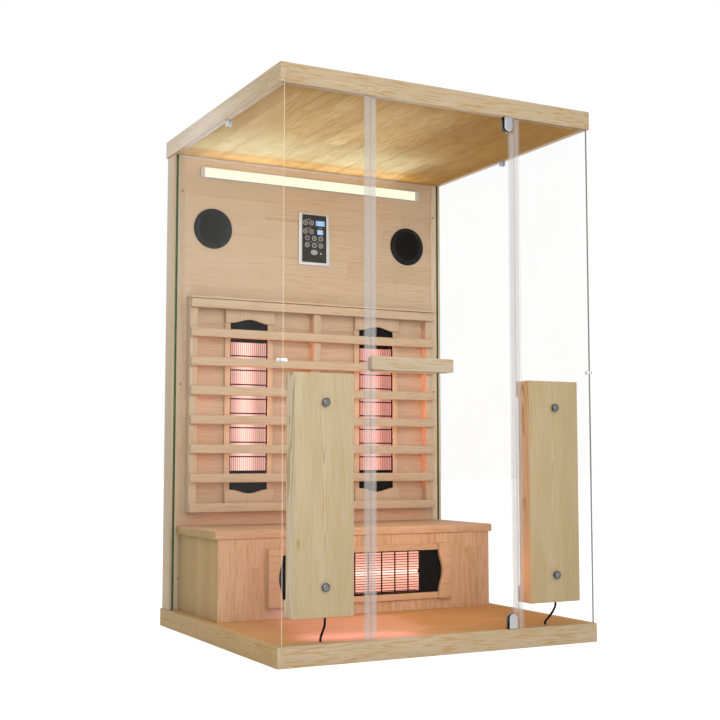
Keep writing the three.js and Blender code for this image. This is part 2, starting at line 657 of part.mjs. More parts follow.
function buildHeaters() {
  for (const [side, sign] of [['left', -1], ['right', 1]]) {
    const back = groupAt(cabin, sign * BACK_HEATER_OFFSET, wallY, floorZ + BACK_HEATER_CENTRE);
    addHeater(back, `back_heater_${side}`, heaterSurround(), warmPine);
    const boxX = sign * (fixedEdgeX + frontPaneEndX) / 2;
    const box = groupAt(cabin, boxX, glassInnerY + boxRearY, floorZ + BOX_CENTRE_HEIGHT);
    box.rotation.z = Math.PI;
    addHeater(box, `front_heater_${side}`, heaterBox(), boxPine);
  }
  const bench = groupAt(cabin, 0, benchFrontY, floorZ + BENCH_HEATER_CENTRE);
  bench.rotation.y = Math.PI / 2;
  addHeater(bench, 'bench_heater', heaterSurround(), warmPine);
}

function buildLightBar() {
  const light = groupAt(cabin, 0, wallY, lightZ);
  const half = wallHalf - LIGHT_SIDE_GAP;
  const halfZ = LIGHT_HEIGHT / 2;
  const trayHalf = half - LIGHT_CAP;
  const trayZ = halfZ - LIGHT_WALL;
  const body = boxBetween([-half, -LIGHT_DEPTH, -halfZ], [half, 0, halfZ]);
  const tray = boxBetween([-trayHalf, -LIGHT_DEPTH - JOIN, -trayZ], [trayHalf, -LIGHT_WALL, trayZ]);
  addPiece(light, 'light_housing', joinAndCut([body], [tray]), lightHousing);
  const gap = LIGHT_CLEARANCE;
  const diffuser = boxBetween(
    [-trayHalf + gap, -LIGHT_DEPTH, -trayZ + gap], [trayHalf - gap, -LIGHT_WALL - gap, trayZ - gap]);
  addPiece(light, 'light_diffuser', diffuser, litDiffuser);
}

// Round speaker: magnet and basket behind the wall, low rim and raised flat face in front.
function speakerGeometry() {
  const profile = [
    [0, -SPEAKER_DEPTH],
    [SPEAKER_MAGNET_RADIUS, -SPEAKER_DEPTH],
    [SPEAKER_MAGNET_RADIUS, -SPEAKER_BASKET_DEPTH],
    [SPEAKER_BASKET_RADIUS, -WALL_THICKNESS],
    [SPEAKER_BASKET_RADIUS, 0],
    [SPEAKER_RADIUS, 0],
    [SPEAKER_RADIUS, SPEAKER_RIM_HEIGHT - SPEAKER_EDGE_BREAK],
    [SPEAKER_RADIUS - SPEAKER_EDGE_BREAK, SPEAKER_RIM_HEIGHT],
    [SPEAKER_RADIUS - SPEAKER_RIM_WIDTH, SPEAKER_RIM_HEIGHT],
    [SPEAKER_FACE_RADIUS + SPEAKER_EDGE_BREAK, SPEAKER_FACE_HEIGHT - SPEAKER_EDGE_BREAK / 2],
    [SPEAKER_FACE_RADIUS - SPEAKER_EDGE_BREAK, SPEAKER_FACE_HEIGHT],
    [0, SPEAKER_FACE_HEIGHT],
  ];
  const points = profile.map(([radius, height]) => new THREE.Vector2(radius, height));
  const geometry = new THREE.LatheGeometry(points, ROUND_SIDES);
  geometry.rotateX(Math.PI);
  return geometry;
}

function buildSpeakers() {
  for (const [side, sign] of [['left', -1], ['right', 1]]) {
    const x = sign * (wallHalf - SPEAKER_SIDE_GAP);
    const place = groupAt(cabin, x, wallY, speakerZ);
    addPiece(place, `speaker_${side}`, speakerGeometry(), speakerBlack);
  }
}

function buildControl() {
  const control = groupAt(cabin, 0, wallY, controlZ);
  const halfX = CONTROL_WIDTH / 2;
  const halfZ = CONTROL_HEIGHT / 2;
  const faceX = halfX - CONTROL_SIDE_BAR;
  const faceLowZ = -halfZ + CONTROL_BOTTOM_BAR;
  const faceTopZ = halfZ - CONTROL_TOP_BAR;
  const outer = boxBetween([-halfX, -CONTROL_FRAME_DEPTH, -halfZ], [halfX, 0, halfZ]);
  const inner = boxBetween([-faceX, -CONTROL_FRAME_DEPTH - JOIN, faceLowZ], [faceX, JOIN, faceTopZ]);
  addPiece(control, 'control_frame', joinAndCut([outer], [inner]), satinMetal);

  const padX = faceX - KEYPAD_CLEARANCE;
  const pad = boxBetween(
    [-padX, -KEYPAD_THICKNESS, faceLowZ + KEYPAD_CLEARANCE], [padX, 0, faceTopZ - KEYPAD_CLEARANCE]);
  const keyZ = faceLowZ + KEY_ABOVE_FRAME;
  const pocket = KEY_FLANGE_THICKNESS + KEY_TRAVEL + KEY_BACK_GAP;
  const gap = 2 * KEY_CLEARANCE;
  const flangeWidth = KEY_WIDTH + 2 * KEY_FLANGE;
  const flangeHeight = KEY_HEIGHT + 2 * KEY_FLANGE;
  const hole = oval(0, keyZ, KEY_WIDTH + gap, KEY_HEIGHT + gap);
  const recess = oval(0, keyZ, flangeWidth + gap, flangeHeight + gap);
  const cuts = [
    frontPrism(hole, -KEYPAD_THICKNESS - JOIN, JOIN, OVAL_STEPS),
    frontPrism(recess, -pocket, JOIN, OVAL_STEPS),
  ];
  addPiece(control, 'control_keypad', joinAndCut([pad], cuts), keypadBlack);

  const flangeFrontY = -pocket;
  const flangeBackY = flangeFrontY + KEY_FLANGE_THICKNESS;
  const stem = frontPrism(
    oval(0, keyZ, KEY_WIDTH, KEY_HEIGHT), -KEYPAD_THICKNESS - KEY_RISE, flangeBackY, OVAL_STEPS);
  const flange = frontPrism(
    oval(0, keyZ, flangeWidth, flangeHeight), flangeFrontY, flangeBackY, OVAL_STEPS);
  addPiece(control, 'power_key', joinAndCut([stem, flange]), keyGrey);
}

// Round cord along hand-chosen points, held clear of the box above and the floor below.
function cordGeometry(points) {
  const route = points.map(([x, y, z]) => new THREE.Vector3(x, y, z));
  route[0].z -= CORD_END_GAP;
  route[route.length - 1].z += CORD_END_GAP;
  const section = new THREE.Shape();
  section.absarc(0, 0, CORD_RADIUS, 0, 2 * Math.PI);
  return new THREE.ExtrudeGeometry(section, {
    steps: CORD_STEPS,
    curveSegments: CURVE_STEPS,
    bevelEnabled: false,
    extrudePath: new THREE.CatmullRomCurve3(route),
  });
}

function buildCords() {
  const cords = groupAt(cabin);
  addPiece(cords, 'front_heater_left_cord', cordGeometry(LEFT_CORD_POINTS), cordBlack);
  addPiece(cords, 'front_heater_right_cord', cordGeometry(RIGHT_CORD_POINTS), cordBlack);
}

buildBase();
buildRoof();
buildRearWall();
buildFixedGlass();
buildDoor();
buildBench();
buildBackrest();
buildHeaters();
buildLightBar();
buildSpeakers();
buildControl();
buildCords();

// The handle bar reaches furthest forward, so the box's middle lies between it and the rear.
const frontReachY = Math.min(frontY, glassOuterY - HANDLE_STANDOFF - HANDLE_THICKNESS);
cabin.position.y = -(frontReachY + rearY) / 2;

export default cabin;
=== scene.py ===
"""Looks of an infrared sauna cabin for two: pine boards, glass panes, heaters and fittings."""
import logging
import math
from dataclasses import dataclass, replace
from enum import Enum
from typing import Callable, Sequence

import bmesh
import bpy
from mathutils import Matrix, Quaternion, Vector


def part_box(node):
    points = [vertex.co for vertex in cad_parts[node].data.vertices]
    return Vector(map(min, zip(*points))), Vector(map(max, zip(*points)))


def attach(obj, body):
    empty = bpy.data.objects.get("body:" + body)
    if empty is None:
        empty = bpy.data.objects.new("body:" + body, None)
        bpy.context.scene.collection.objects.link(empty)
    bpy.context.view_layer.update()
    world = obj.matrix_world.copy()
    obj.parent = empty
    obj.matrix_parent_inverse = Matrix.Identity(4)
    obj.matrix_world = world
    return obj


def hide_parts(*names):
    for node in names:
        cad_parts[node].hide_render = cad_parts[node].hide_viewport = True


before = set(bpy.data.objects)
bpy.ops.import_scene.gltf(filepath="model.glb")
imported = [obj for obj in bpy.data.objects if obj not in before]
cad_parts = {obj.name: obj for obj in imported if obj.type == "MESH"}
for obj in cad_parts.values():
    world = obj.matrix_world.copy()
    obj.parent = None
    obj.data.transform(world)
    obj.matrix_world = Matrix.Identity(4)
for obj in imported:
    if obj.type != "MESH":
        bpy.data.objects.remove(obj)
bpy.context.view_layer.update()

LOG = logging.getLogger("cabin")
MM = 0.001
CABIN = "cabin"
DOOR = "door"
KEY = "power_key"
SIDES = ("left", "right")
WHITE = (1.0, 1.0, 1.0)
BLACK = (0.0, 0.0, 0.0)
ORIGIN = (0.0, 0.0, 0.0)

# Angles and the distance that rounding, smooth shading and merging go by.
ROUNDED_ANGLE = math.radians(35.0)
SMOOTH_ANGLE = math.radians(30.0)
ROD_SMOOTH_ANGLE = math.radians(60.0)
FLAT_ANGLE = math.radians(1.0)
MERGED_DISTANCE = 1e-5

# Parts of a face's normal along an axis, by which faces are chosen.
SQUARE_ON = 0.9
NEARLY_SQUARE = 0.7
SLANTED = 0.4
EDGEWISE = 0.3

# Wood grain: scale of each pattern along, across and into the board, and where each one sets in.
BEND_SCALE = (1.3, 5.0, 5.0)
SWAY_SCALE = 1.1
SWAY_PLACE = (3.7, 1.3)
SWAY_AMOUNT = 0.1
KNOT_SCALE = (2.4, 6.5, 0.0)
KNOT_CHANCE = 0.6
KNOT_REACH = (0.02, 0.34)
KNOT_EYE = (0.015, 0.06)
KNOT_PULL = 0.03
RING_RISE = (0.35, 0.86)
RING_FALL = (0.9, 1.0)
PATCH_SCALE = (2.2, 13.0, 13.0)
PATCH_RANGE = (0.3, 0.65)
DASH_SCALE = (13.0, 170.0, 170.0)
DASH_RANGE = (0.49, 0.66)
FIBRE_SCALE = (7.0, 320.0, 320.0)
CLOUD_SCALE = (1.7, 17.0, 17.0)

# Glued strips: how far the wood of each strip is moved, and the width of the glue line.
STRIP_SHIFT = 0.1
STRIP_JUMP = 9.0
SEAM_RANGE = (0.0003, 0.0014)

# Scale of the broad marks on smooth surfaces.
BROAD_MARKS = 22.0

Pair = tuple[float, float]
Point = tuple[float, float, float]
Colour = tuple[float, float, float]
Socket = bpy.types.NodeSocket
Piece = bpy.types.Object


def rgba(colour: Colour) -> tuple[float, float, float, float]:
    """Returns a colour with full opacity."""
    return (*colour, 1.0)


def toned(colour: Colour, factor: float) -> Colour:
    """Returns a colour made lighter or darker."""
    return tuple(min(1.0, channel * factor) for channel in colour)


class Graph:
    """Adds nodes to a shader tree and wires them."""

    def __init__(self, tree: bpy.types.NodeTree) -> None:
        """Keeps the tree that the nodes go into."""
        self.tree = tree

    def feed(self, socket: Socket, value: object) -> None:
        """Links a socket into an input, or sets the input's own value.

        Args:
            socket: Input to fill.
            value: Another node's output, a number, a vector or a colour.
        """
        if isinstance(value, bpy.types.NodeSocket):
            self.tree.links.new(value, socket)
        else:
            socket.default_value = value

    def fill(self, node: bpy.types.Node, inputs: dict) -> None:
        """Feeds values or sockets into a node's inputs, by the input's name or number."""
        for key, value in inputs.items():
            self.feed(node.inputs[key], value)

    def node(self, kind: str, inputs: dict, **settings: object) -> bpy.types.Node:
        """Adds one node.

        Args:
            kind: Blender's name of the node type.
            inputs: Values or sockets by the input's name or number.
            **settings: Options of the node.

        Returns:
            The new node.
        """
        node = self.tree.nodes.new(kind)
        for key, value in settings.items():
            setattr(node, key, value)
        self.fill(node, inputs)
        return node

    def math(self, operation: str, *values: object) -> Socket:
        """Adds a Math node and returns its result."""
        return self.node("ShaderNodeMath", dict(enumerate(values)), operation=operation).outputs[0]

    def chain(self, operation: str, first: object, *others: object) -> Socket:
        """Joins values one after the other with the same operation.

        Args:
            operation: Operation of the Math nodes.
            first: Value or socket to start from.
            *others: Values or sockets to join to it in turn.

        Returns:
            The result of the last node.
        """
        for other in others:
            first = self.math(operation, first, other)
        return first

    def total(self, *values: object) -> Socket:
        """Returns the sum of values."""
        return self.chain("ADD", *values)

    def product(self, *values: object) -> Socket:
        """Returns the product of values."""
        return self.chain("MULTIPLY", *values)

    def inverse(self, value: Socket) -> Socket:
        """Returns 1 minus a value."""
        return self.math("SUBTRACT", 1.0, value)

    def smooth(self, value: object, low: float, high: float) -> Socket:
        """Returns 0 at the low value and 1 at the high value, with a soft change between."""
        inputs = {"Value": value, "From Min": low, "From Max": high}
        return self.node("ShaderNodeMapRange", inputs, interpolation_type="SMOOTHSTEP").outputs[0]

    def noise(self, vector: Socket, scale: object, detail: float) -> Socket:
        """Adds a noise texture and returns its value, 0 to 1."""
        inputs = {"Vector": vector, "Scale": scale, "Detail": detail}
        return self.node("ShaderNodeTexNoise", inputs).outputs[0]

    def swing(self, value: Socket, amount: object) -> Socket:
        """Turns a value from 0 to 1 into one that swings to both sides of zero."""
        return self.product(self.math("SUBTRACT", value, 0.5), amount)

    def stretched(self, vector: Socket, scale: Sequence[float]) -> Socket:
        """Returns a vector times a scale on each axis."""
        return self.node("ShaderNodeVectorMath", {0: vector, 1: scale}, operation="MULTIPLY").outputs[0]

    def drawn(self, vector: Socket, scale: Sequence[float], detail: float) -> Socket:
        """Returns noise with its own scale on each axis, 0 to 1."""
        return self.noise(self.stretched(vector, scale), 1.0, detail)

    def split(self, vector: Socket) -> Sequence[Socket]:
        """Returns the x, y and z of a vector."""
        return self.node("ShaderNodeSeparateXYZ", {0: vector}).outputs

    def joined(self, x: object, y: object, z: object) -> Socket:
        """Returns a vector from its x, y and z."""
        return self.node("ShaderNodeCombineXYZ", {0: x, 1: y, 2: z}).outputs[0]

    def mix(self, factor: object, first: object, second: object) -> Socket:
        """Returns the first colour at factor 0 and the second at factor 1."""
        first, second = (rgba(end) if isinstance(end, tuple) else end for end in (first, second))
        return self.node("ShaderNodeMix", {0: factor, 6: first, 7: second}, data_type="RGBA").outputs[2]

    def bump(self, height: Socket, strength: float, distance: float) -> Socket:
        """Returns the normal of a surface raised by a height."""
        inputs = {"Height": height, "Strength": strength, "Distance": distance}
        return self.node("ShaderNodeBump", inputs).outputs[0]

    def place(self, centre: Sequence[float] = ORIGIN) -> Socket:
        """Returns the point on the piece, in metres from a centre."""
        point = self.node("ShaderNodeTexCoord", {}).outputs["Object"]
        return self.node("ShaderNodeMapping", {"Vector": point, "Location": -Vector(centre)}).outputs[0]

    def group(self, tree: bpy.types.NodeTree, inputs: dict) -> Sequence[Socket]:
        """Places a shader node group and returns its outputs."""
        return self.node("ShaderNodeGroup", inputs, node_tree=tree).outputs


GroupBuilder = Callable[[Graph, Sequence[Socket], Sequence[Socket]], None]


def shader_group(
    name: str, inputs: dict[str, float], outputs: Sequence[str], build: GroupBuilder
) -> bpy.types.NodeTree:
    """Builds a shader node group the first time it is asked for; its first input is a point.

    Args:
        name: Name of the group.
        inputs: Start values of the other inputs, by name.
        outputs: Names of the outputs; Point is a vector, and the others are numbers.
        build: Adds the nodes between the group's inputs and outputs.

    Returns:
        The group's node tree.
    """
    tree = bpy.data.node_groups.get(name)
    if tree is not None:
        return tree
    tree = bpy.data.node_groups.new(name, "ShaderNodeTree")
    tree.interface.new_socket(name="Point", in_out="INPUT", socket_type="NodeSocketVector")
    for label, value in inputs.items():
        socket = tree.interface.new_socket(name=label, in_out="INPUT", socket_type="NodeSocketFloat")
        socket.default_value = value
    for label in outputs:
        kind = "NodeSocketVector" if label == "Point" else "NodeSocketFloat"
        tree.interface.new_socket(name=label, in_out="OUTPUT", socket_type=kind)
    entry = tree.nodes.new("NodeGroupInput")
    leave = tree.nodes.new("NodeGroupOutput")
    build(Graph(tree), entry.outputs, leave.inputs)
    return tree


def build_grain(graph: Graph, entry: Sequence[Socket], leave: Sequence[Socket]) -> None:
    """Fills the grain group: growth rings round a heart that lies behind the board's face.

    Args:
        graph: Graph of the group.
        entry: Inputs Point, Heart, Ring Width, Wander and Knots.
        leave: Outputs Lines, Dash, Fibre, Cloud and Knot.
    """
    point = entry["Point"]
    along, across, into = graph.split(point)
    flat = graph.stretched(point, KNOT_SCALE)
    cells = graph.node("ShaderNodeTexVoronoi", {"Vector": flat, "Scale": 1.0}, voronoi_dimensions="2D")
    chance = graph.split(cells.outputs["Color"])[0]
    present = graph.product(graph.math("GREATER_THAN", chance, KNOT_CHANCE), entry["Knots"])
    reach = graph.inverse(graph.smooth(cells.outputs["Distance"], *KNOT_REACH))
    eye = graph.inverse(graph.smooth(cells.outputs["Distance"], *KNOT_EYE))
    graph.feed(leave["Knot"], graph.product(eye, present))

    bend = graph.swing(graph.drawn(point, BEND_SCALE, 3.0), entry["Wander"])
    sway = graph.noise(graph.joined(graph.product(along, SWAY_SCALE), *SWAY_PLACE), 1.0, 1.0)
    depth = graph.total(into, entry["Heart"], bend)
    side = graph.total(across, graph.swing(sway, SWAY_AMOUNT))
    square = graph.total(graph.math("POWER", side, 2.0), graph.math("POWER", depth, 2.0))
    radius = graph.total(graph.math("SQRT", square), graph.product(reach, present, KNOT_PULL))
    turn = graph.math("FRACT", graph.math("DIVIDE", radius, entry["Ring Width"]))
    fall = graph.inverse(graph.smooth(turn, *RING_FALL))
    patchy = graph.smooth(graph.drawn(point, PATCH_SCALE, 2.0), *PATCH_RANGE)
    graph.feed(leave["Lines"], graph.product(graph.smooth(turn, *RING_RISE), fall, patchy))
    graph.feed(leave["Dash"], graph.smooth(graph.drawn(point, DASH_SCALE, 2.0), *DASH_RANGE))
    graph.feed(leave["Fibre"], graph.drawn(point, FIBRE_SCALE, 3.0))
    graph.feed(leave["Cloud"], graph.drawn(point, CLOUD_SCALE, 3.0))


def build_strips(graph: Graph, entry: Sequence[Socket], leave: Sequence[Socket]) -> None:
    """Fills the strip group: a board glued from strips, each cut from its own wood.

    Args:
        graph: Graph of the group.
        entry: Inputs Point, Width and Length.
        leave: Outputs Point, Tone and Seam.
    """
    along, across, into = graph.split(entry["Point"])
    row_place = graph.math("DIVIDE", across, entry["Width"])
    row = graph.math("FLOOR", row_place)
    row_tone = graph.node("ShaderNodeTexWhiteNoise", {"W": row}, noise_dimensions="1D").outputs["Value"]
    end_place = graph.total(graph.math("DIVIDE", along, entry["Length"]), row_tone)
    strip = {"Vector": graph.joined(row, graph.math("FLOOR", end_place), 0.5)}
    tone = graph.node("ShaderNodeTexWhiteNoise", strip, noise_dimensions="3D").outputs["Value"]
    middle_line = graph.product(graph.total(row, 0.5), entry["Width"])
    local = graph.total(graph.math("SUBTRACT", across, middle_line), graph.swing(tone, STRIP_SHIFT))
    jump = graph.total(along, graph.product(tone, STRIP_JUMP))
    graph.feed(leave["Point"], graph.joined(jump, local, into))
    graph.feed(leave["Tone"], tone)
    edge = graph.product(graph.math("PINGPONG", row_place, 0.5), entry["Width"])
    end = graph.product(graph.math("PINGPONG", end_place, 0.5), entry["Length"])
    nearest = graph.math("MINIMUM", edge, end)
    graph.feed(leave["Seam"], graph.inverse(graph.smooth(nearest, *SEAM_RANGE)))


def build_speckle(graph: Graph, entry: Sequence[Socket], leave: Sequence[Socket]) -> None:
    """Fills the speckle group: fine surface texture and broad handling marks.

    Args:
        graph: Graph of the group.
        entry: Inputs Point and Fine.
        leave: Outputs Fine and Broad.
    """
    graph.feed(leave["Fine"], graph.noise(entry["Point"], entry["Fine"], 3.0))
    graph.feed(leave["Broad"], graph.noise(entry["Point"], BROAD_MARKS, 2.0))


def grain_group() -> bpy.types.NodeTree:
    """Returns the wood grain group."""
    inputs = {"Heart": 0.04, "Ring Width": 0.01, "Wander": 0.05, "Knots": 0.0}
    return shader_group("pine_grain", inputs, ("Lines", "Dash", "Fibre", "Cloud", "Knot"), build_grain)


def strip_group() -> bpy.types.NodeTree:
    """Returns the group of glued strips."""
    inputs = {"Width": 0.07, "Length": 0.6}
    return shader_group("glued_strips", inputs, ("Point", "Tone", "Seam"), build_strips)


def speckle_group() -> bpy.types.NodeTree:
    """Returns the group of fine surface texture."""
    return shader_group("surface_speckle", {"Fine": 900.0}, ("Fine", "Broad"), build_speckle)


def new_material(name: str) -> tuple[bpy.types.Material, Graph, bpy.types.Node]:
    """Makes a material with one Principled shader.

    Args:
        name: Name of the finish.

    Returns:
        The material, its graph and its shader node.
    """
    material = bpy.data.materials.new(name)
    material.use_nodes = True
    return material, Graph(material.node_tree), material.node_tree.nodes["Principled BSDF"]


class Grain(Enum):
    """Axes along the fibres, across them and into the face of a board."""

    WIDTH_UPRIGHT = (0, 2, 1)
    WIDTH_FLAT = (0, 1, 2)
    DEPTH_UPRIGHT = (1, 2, 0)
    DEPTH_FLAT = (1, 0, 2)
    HEIGHT_FRONT = (2, 0, 1)
    HEIGHT_SIDE = (2, 1, 0)


@dataclass(frozen=True)
class Pine:
    """Clear-sealed pine; a board glued from strips has a strip width."""

    name: str
    pale: Colour
    dark: Colour
    grain: Grain
    warm: Colour = (0.50, 0.29, 0.09)
    dashes: float = 0.55
    heart: float = 0.035
    ring_width: float = 0.007
    lines: float = 0.5
    wander: float = 0.05
    knots: float = 0.0
    cloud: float = 0.4
    strip_width: float = 0.0
    strip_length: float = 0.62
    strip_tone: float = 0.3
    roughness: float = 0.55
    shine: float = 0.06
    coat: float = 0.0
    coat_roughness: float = 0.3
    drift: float = 3.0
    fibre_shade: float = 0.35
    knot_shade: float = 0.9
    seam_shade: float = 0.4
    tone_range: Pair = (-0.35, 1.15)
    fibre_roughness: float = 0.2
    line_groove: float = 0.4
    relief: float = 0.25
    relief_height: float = 0.0004

    def cut(self, piece: str, centre: Sequence[float]) -> bpy.types.Material:
        """Builds the wood of one piece, with the heart behind its middle.

        Args:
            piece: Name of the piece that is cut from it.
            centre: Middle of the piece, in metres.

        Returns:
            The material.
        """
        material, graph, shader = new_material(f"{self.name}_{piece}")
        axes = graph.split(graph.place(centre))
        turned = [axes[index] for index in self.grain.value]
        start = graph.total(turned[0], sum(centre) * self.drift)
        point = graph.joined(start, turned[1], turned[2])
        shades: list[Socket] = []
        seam: Socket | None = None
        if self.strip_width:
            inputs = {"Point": point, "Width": self.strip_width, "Length": self.strip_length}
            strips = graph.group(strip_group(), inputs)
            point, seam = strips["Point"], strips["Seam"]
            shades.append(graph.swing(strips["Tone"], self.strip_tone))
            shades.append(graph.product(seam, self.seam_shade))
        wood = graph.group(grain_group(), {
            "Point": point, "Heart": self.heart, "Ring Width": self.ring_width,
            "Wander": self.wander, "Knots": self.knots})
        shades += [
            graph.swing(wood["Fibre"], self.fibre_shade),
            graph.swing(wood["Cloud"], self.cloud),
            graph.product(wood["Knot"], self.knot_shade),
        ]
        shade = graph.total(graph.product(wood["Lines"], self.lines), *shades)
        tone = graph.smooth(shade, *self.tone_range)
        dash = graph.product(wood["Dash"], self.dashes)
        height = graph.math("SUBTRACT", wood["Fibre"], graph.product(wood["Lines"], self.line_groove))
        if seam is not None:
            height = graph.math("SUBTRACT", height, seam)
        graph.fill(shader, {
            "Base Color": graph.mix(dash, graph.mix(tone, self.pale, self.dark), self.warm),
            "Roughness": graph.total(graph.swing(wood["Fibre"], self.fibre_roughness), self.roughness),
            "Normal": graph.bump(height, self.relief, self.relief_height),
            "Specular IOR Level": self.shine,
            "Coat Weight": self.coat,
            "Coat Roughness": self.coat_roughness,
        })
        return material


@dataclass(frozen=True)
class Moulded:
    """Plastic, enamel, rubber or metal with a fine surface."""

    name: str
    colour: Colour
    roughness: float = 0.45
    metallic: float = 0.0
    unevenness: float = 0.3
    fine: float = 900.0
    grit: float = 0.12
    grit_height: float = 0.0002
    shift: float = 0.18
    shine: float = 0.5
    # Emitted colour; the bench heater's guard wires use it for painted glow.
    glow: Colour = BLACK

    def material(self) -> bpy.types.Material:
        """Builds the material.

        Returns:
            The material.
        """
        material, graph, shader = new_material(self.name)
        speckle = graph.group(speckle_group(), {"Point": graph.place(), "Fine": self.fine})
        darker, lighter = toned(self.colour, 1.0 - self.shift), toned(self.colour, 1.0 + self.shift)
        graph.fill(shader, {
            "Base Color": graph.mix(speckle["Broad"], darker, lighter),
            "Roughness": graph.total(graph.swing(speckle["Fine"], self.unevenness), self.roughness),
            "Normal": graph.bump(speckle["Fine"], self.grit, self.grit_height),
            "Metallic": self.metallic,
            "Specular IOR Level": self.shine,
            "Emission Color": rgba(self.glow),
            "Emission Strength": 1.0,
        })
        return material


class Axis(Enum):
    """Axes of the cabin: width, depth and height."""

    WIDTH = 0
    DEPTH = 1
    HEIGHT = 2


@dataclass(frozen=True)
class PaneEdge:
    """Strip along a pane's edge: the green of the glass on the side panes, painted refracted light on
    the front left pane, and a dark line on the front right pane.
    """

    axis: Axis
    low: float
    high: float
    colour: Colour
    opacity: float
    deepest: float = 1.0


@dataclass(frozen=True)
class PaneGlass:
    """Clear glass with a faint haze and coloured edges."""

    name: str
    haze: float
    edges: tuple[PaneEdge, ...] = ()
    tint: Colour = (0.82, 0.86, 0.84)
    smear_scale: float = 3.0
    smear_tone: float = 0.96
    roughness: float = 0.03

    def material(self) -> bpy.types.Material:
        """Builds the glass.

        Returns:
            The material.
        """
        material, graph, shader = new_material(self.name)
        point = graph.place()
        axes = graph.split(point)
        smear = graph.noise(point, self.smear_scale, 2.0)
        opacity = graph.product(graph.total(smear, 0.5), self.haze)
        colour = graph.mix(smear, self.tint, toned(self.tint, self.smear_tone))
        for edge in self.edges:
            place = axes[edge.axis.value]
            limits = (("GREATER_THAN", place, edge.low), ("LESS_THAN", place, edge.high),
                      ("LESS_THAN", axes[Axis.DEPTH.value], edge.deepest))
            mask = graph.product(*(graph.math(*limit) for limit in limits))
            colour = graph.mix(mask, colour, edge.colour)
            opacity = graph.math("MAXIMUM", opacity, graph.product(mask, edge.opacity))
        graph.fill(shader, {"Base Color": colour, "Alpha": opacity, "Roughness": self.roughness})
        return material


@dataclass(frozen=True)
class SealPlastic:
    """Translucent edge profile with drawn lines along it."""

    name: str
    colour: Colour
    opacity: float
    line_scale: Point = (420.0, 0.0, 0.0)
    line_tone: float = 1.08
    line_opacity: float = 0.08
    roughness: float = 0.3

    def material(self) -> bpy.types.Material:
        """Builds the plastic.

        Returns:
            The material.
        """
        material, graph, shader = new_material(self.name)
        lines = graph.drawn(graph.place(), self.line_scale, 1.0)
        colour = graph.mix(lines, self.colour, toned(self.colour, self.line_tone))
        opacity = graph.total(graph.swing(lines, self.opacity * self.line_opacity), self.opacity)
        graph.fill(shader, {"Base Color": colour, "Alpha": opacity, "Roughness": self.roughness})
        return material


@dataclass(frozen=True)
class Glowing:
    """Surface that shines by itself, such as a lit diffuser or a display."""

    name: str
    edge: Colour
    core: Colour
    mottle_scale: float = 14.0
    body_tone: float = 0.1
    roughness: float = 0.4

    def material(self) -> bpy.types.Material:
        """Builds the material.

        Returns:
            The material.
        """
        material, graph, shader = new_material(self.name)
        mottle = graph.noise(graph.place(), self.mottle_scale, 2.0)
        edge, core = toned(self.edge, self.body_tone), toned(self.core, self.body_tone)
        graph.fill(shader, {
            "Base Color": graph.mix(mottle, edge, core),
            "Roughness": self.roughness,
            "Emission Color": graph.mix(mottle, self.edge, self.core),
            "Emission Strength": 1.0,
        })
        return material


@dataclass(frozen=True)
class EnamelGlowAndPaintedGlow:
    """Black enamel that shines in the hot zone of a heater, most in the middle: the tube's own glow, and
    on the tray painted glow of the tube's light.
    """

    name: str
    across: Axis
    along: Axis
    half_across: float
    half_along: float
    half_depth: float
    facing: float
    nearest: float
    strength: float
    rim: Colour
    hot: Colour
    black: Colour = (0.003, 0.0022, 0.002)
    speck_tone: float = 1.8
    fine: float = 700.0
    fade: Pair = (0.002, 0.06)
    flicker: float = 0.2
    shine: float = 0.05
    roughness: float = 0.5
    unevenness: float = 0.2
    grit: float = 0.1
    grit_height: float = 0.0002

    def cut(self, piece: str, centre: Sequence[float]) -> bpy.types.Material:
        """Builds one heater's material; the glow fades from its middle line to the sides.

        Args:
            piece: Name of the heater.
            centre: Middle of the tray, in metres.

        Returns:
            The material.
        """
        material, graph, shader = new_material(f"{self.name}_{piece}")
        place = graph.place(centre)
        axes = graph.split(place)
        side = graph.math("ABSOLUTE", axes[self.across.value])
        length = graph.math("ABSOLUTE", axes[self.along.value])
        into = graph.product(axes[Axis.DEPTH.value], -self.facing)
        limits = (("LESS_THAN", side, self.half_across), ("LESS_THAN", length, self.half_along),
                  ("LESS_THAN", into, self.half_depth), ("GREATER_THAN", into, self.nearest))
        inside = graph.product(*(graph.math(*limit) for limit in limits))
        speckle = graph.group(speckle_group(), {"Point": place, "Fine": self.fine})
        fading = graph.inverse(graph.smooth(side, *self.fade))
        heat = graph.total(fading, graph.swing(speckle["Broad"], self.flicker))
        graph.fill(shader, {
            "Base Color": graph.mix(speckle["Fine"], self.black, toned(self.black, self.speck_tone)),
            "Roughness": graph.total(graph.swing(speckle["Broad"], self.unevenness), self.roughness),
            "Normal": graph.bump(speckle["Fine"], self.grit, self.grit_height),
            "Specular IOR Level": self.shine,
            "Emission Color": graph.mix(inside, BLACK, graph.mix(heat, self.rim, self.hot)),
            "Emission Strength": self.strength,
        })
        return material


FRONT_PALE: Colour = (0.605, 0.485, 0.335)
FRONT_DARK: Colour = (0.37, 0.245, 0.105)
# Side boards of the base: their wood in a darker, more saturated tone, as painted shade.
SIDE_PAINTED_SHADE_PALE: Colour = (0.58, 0.425, 0.225)
SIDE_PAINTED_SHADE_DARK: Colour = (0.33, 0.205, 0.07)
INNER_PALE: Colour = (0.65, 0.52, 0.375)
INNER_DARK: Colour = (0.43, 0.275, 0.14)
BENCH_PALE: Colour = (0.66, 0.46, 0.30)
BENCH_DARK: Colour = (0.43, 0.23, 0.10)
BOX_PALE: Colour = (0.615, 0.505, 0.345)
BOX_DARK: Colour = (0.42, 0.29, 0.11)
END_PALE: Colour = (0.60, 0.48, 0.335)
END_DARK: Colour = (0.44, 0.33, 0.20)
BACK_PALE: Colour = (0.56, 0.44, 0.28)
BACK_DARK: Colour = (0.38, 0.27, 0.14)

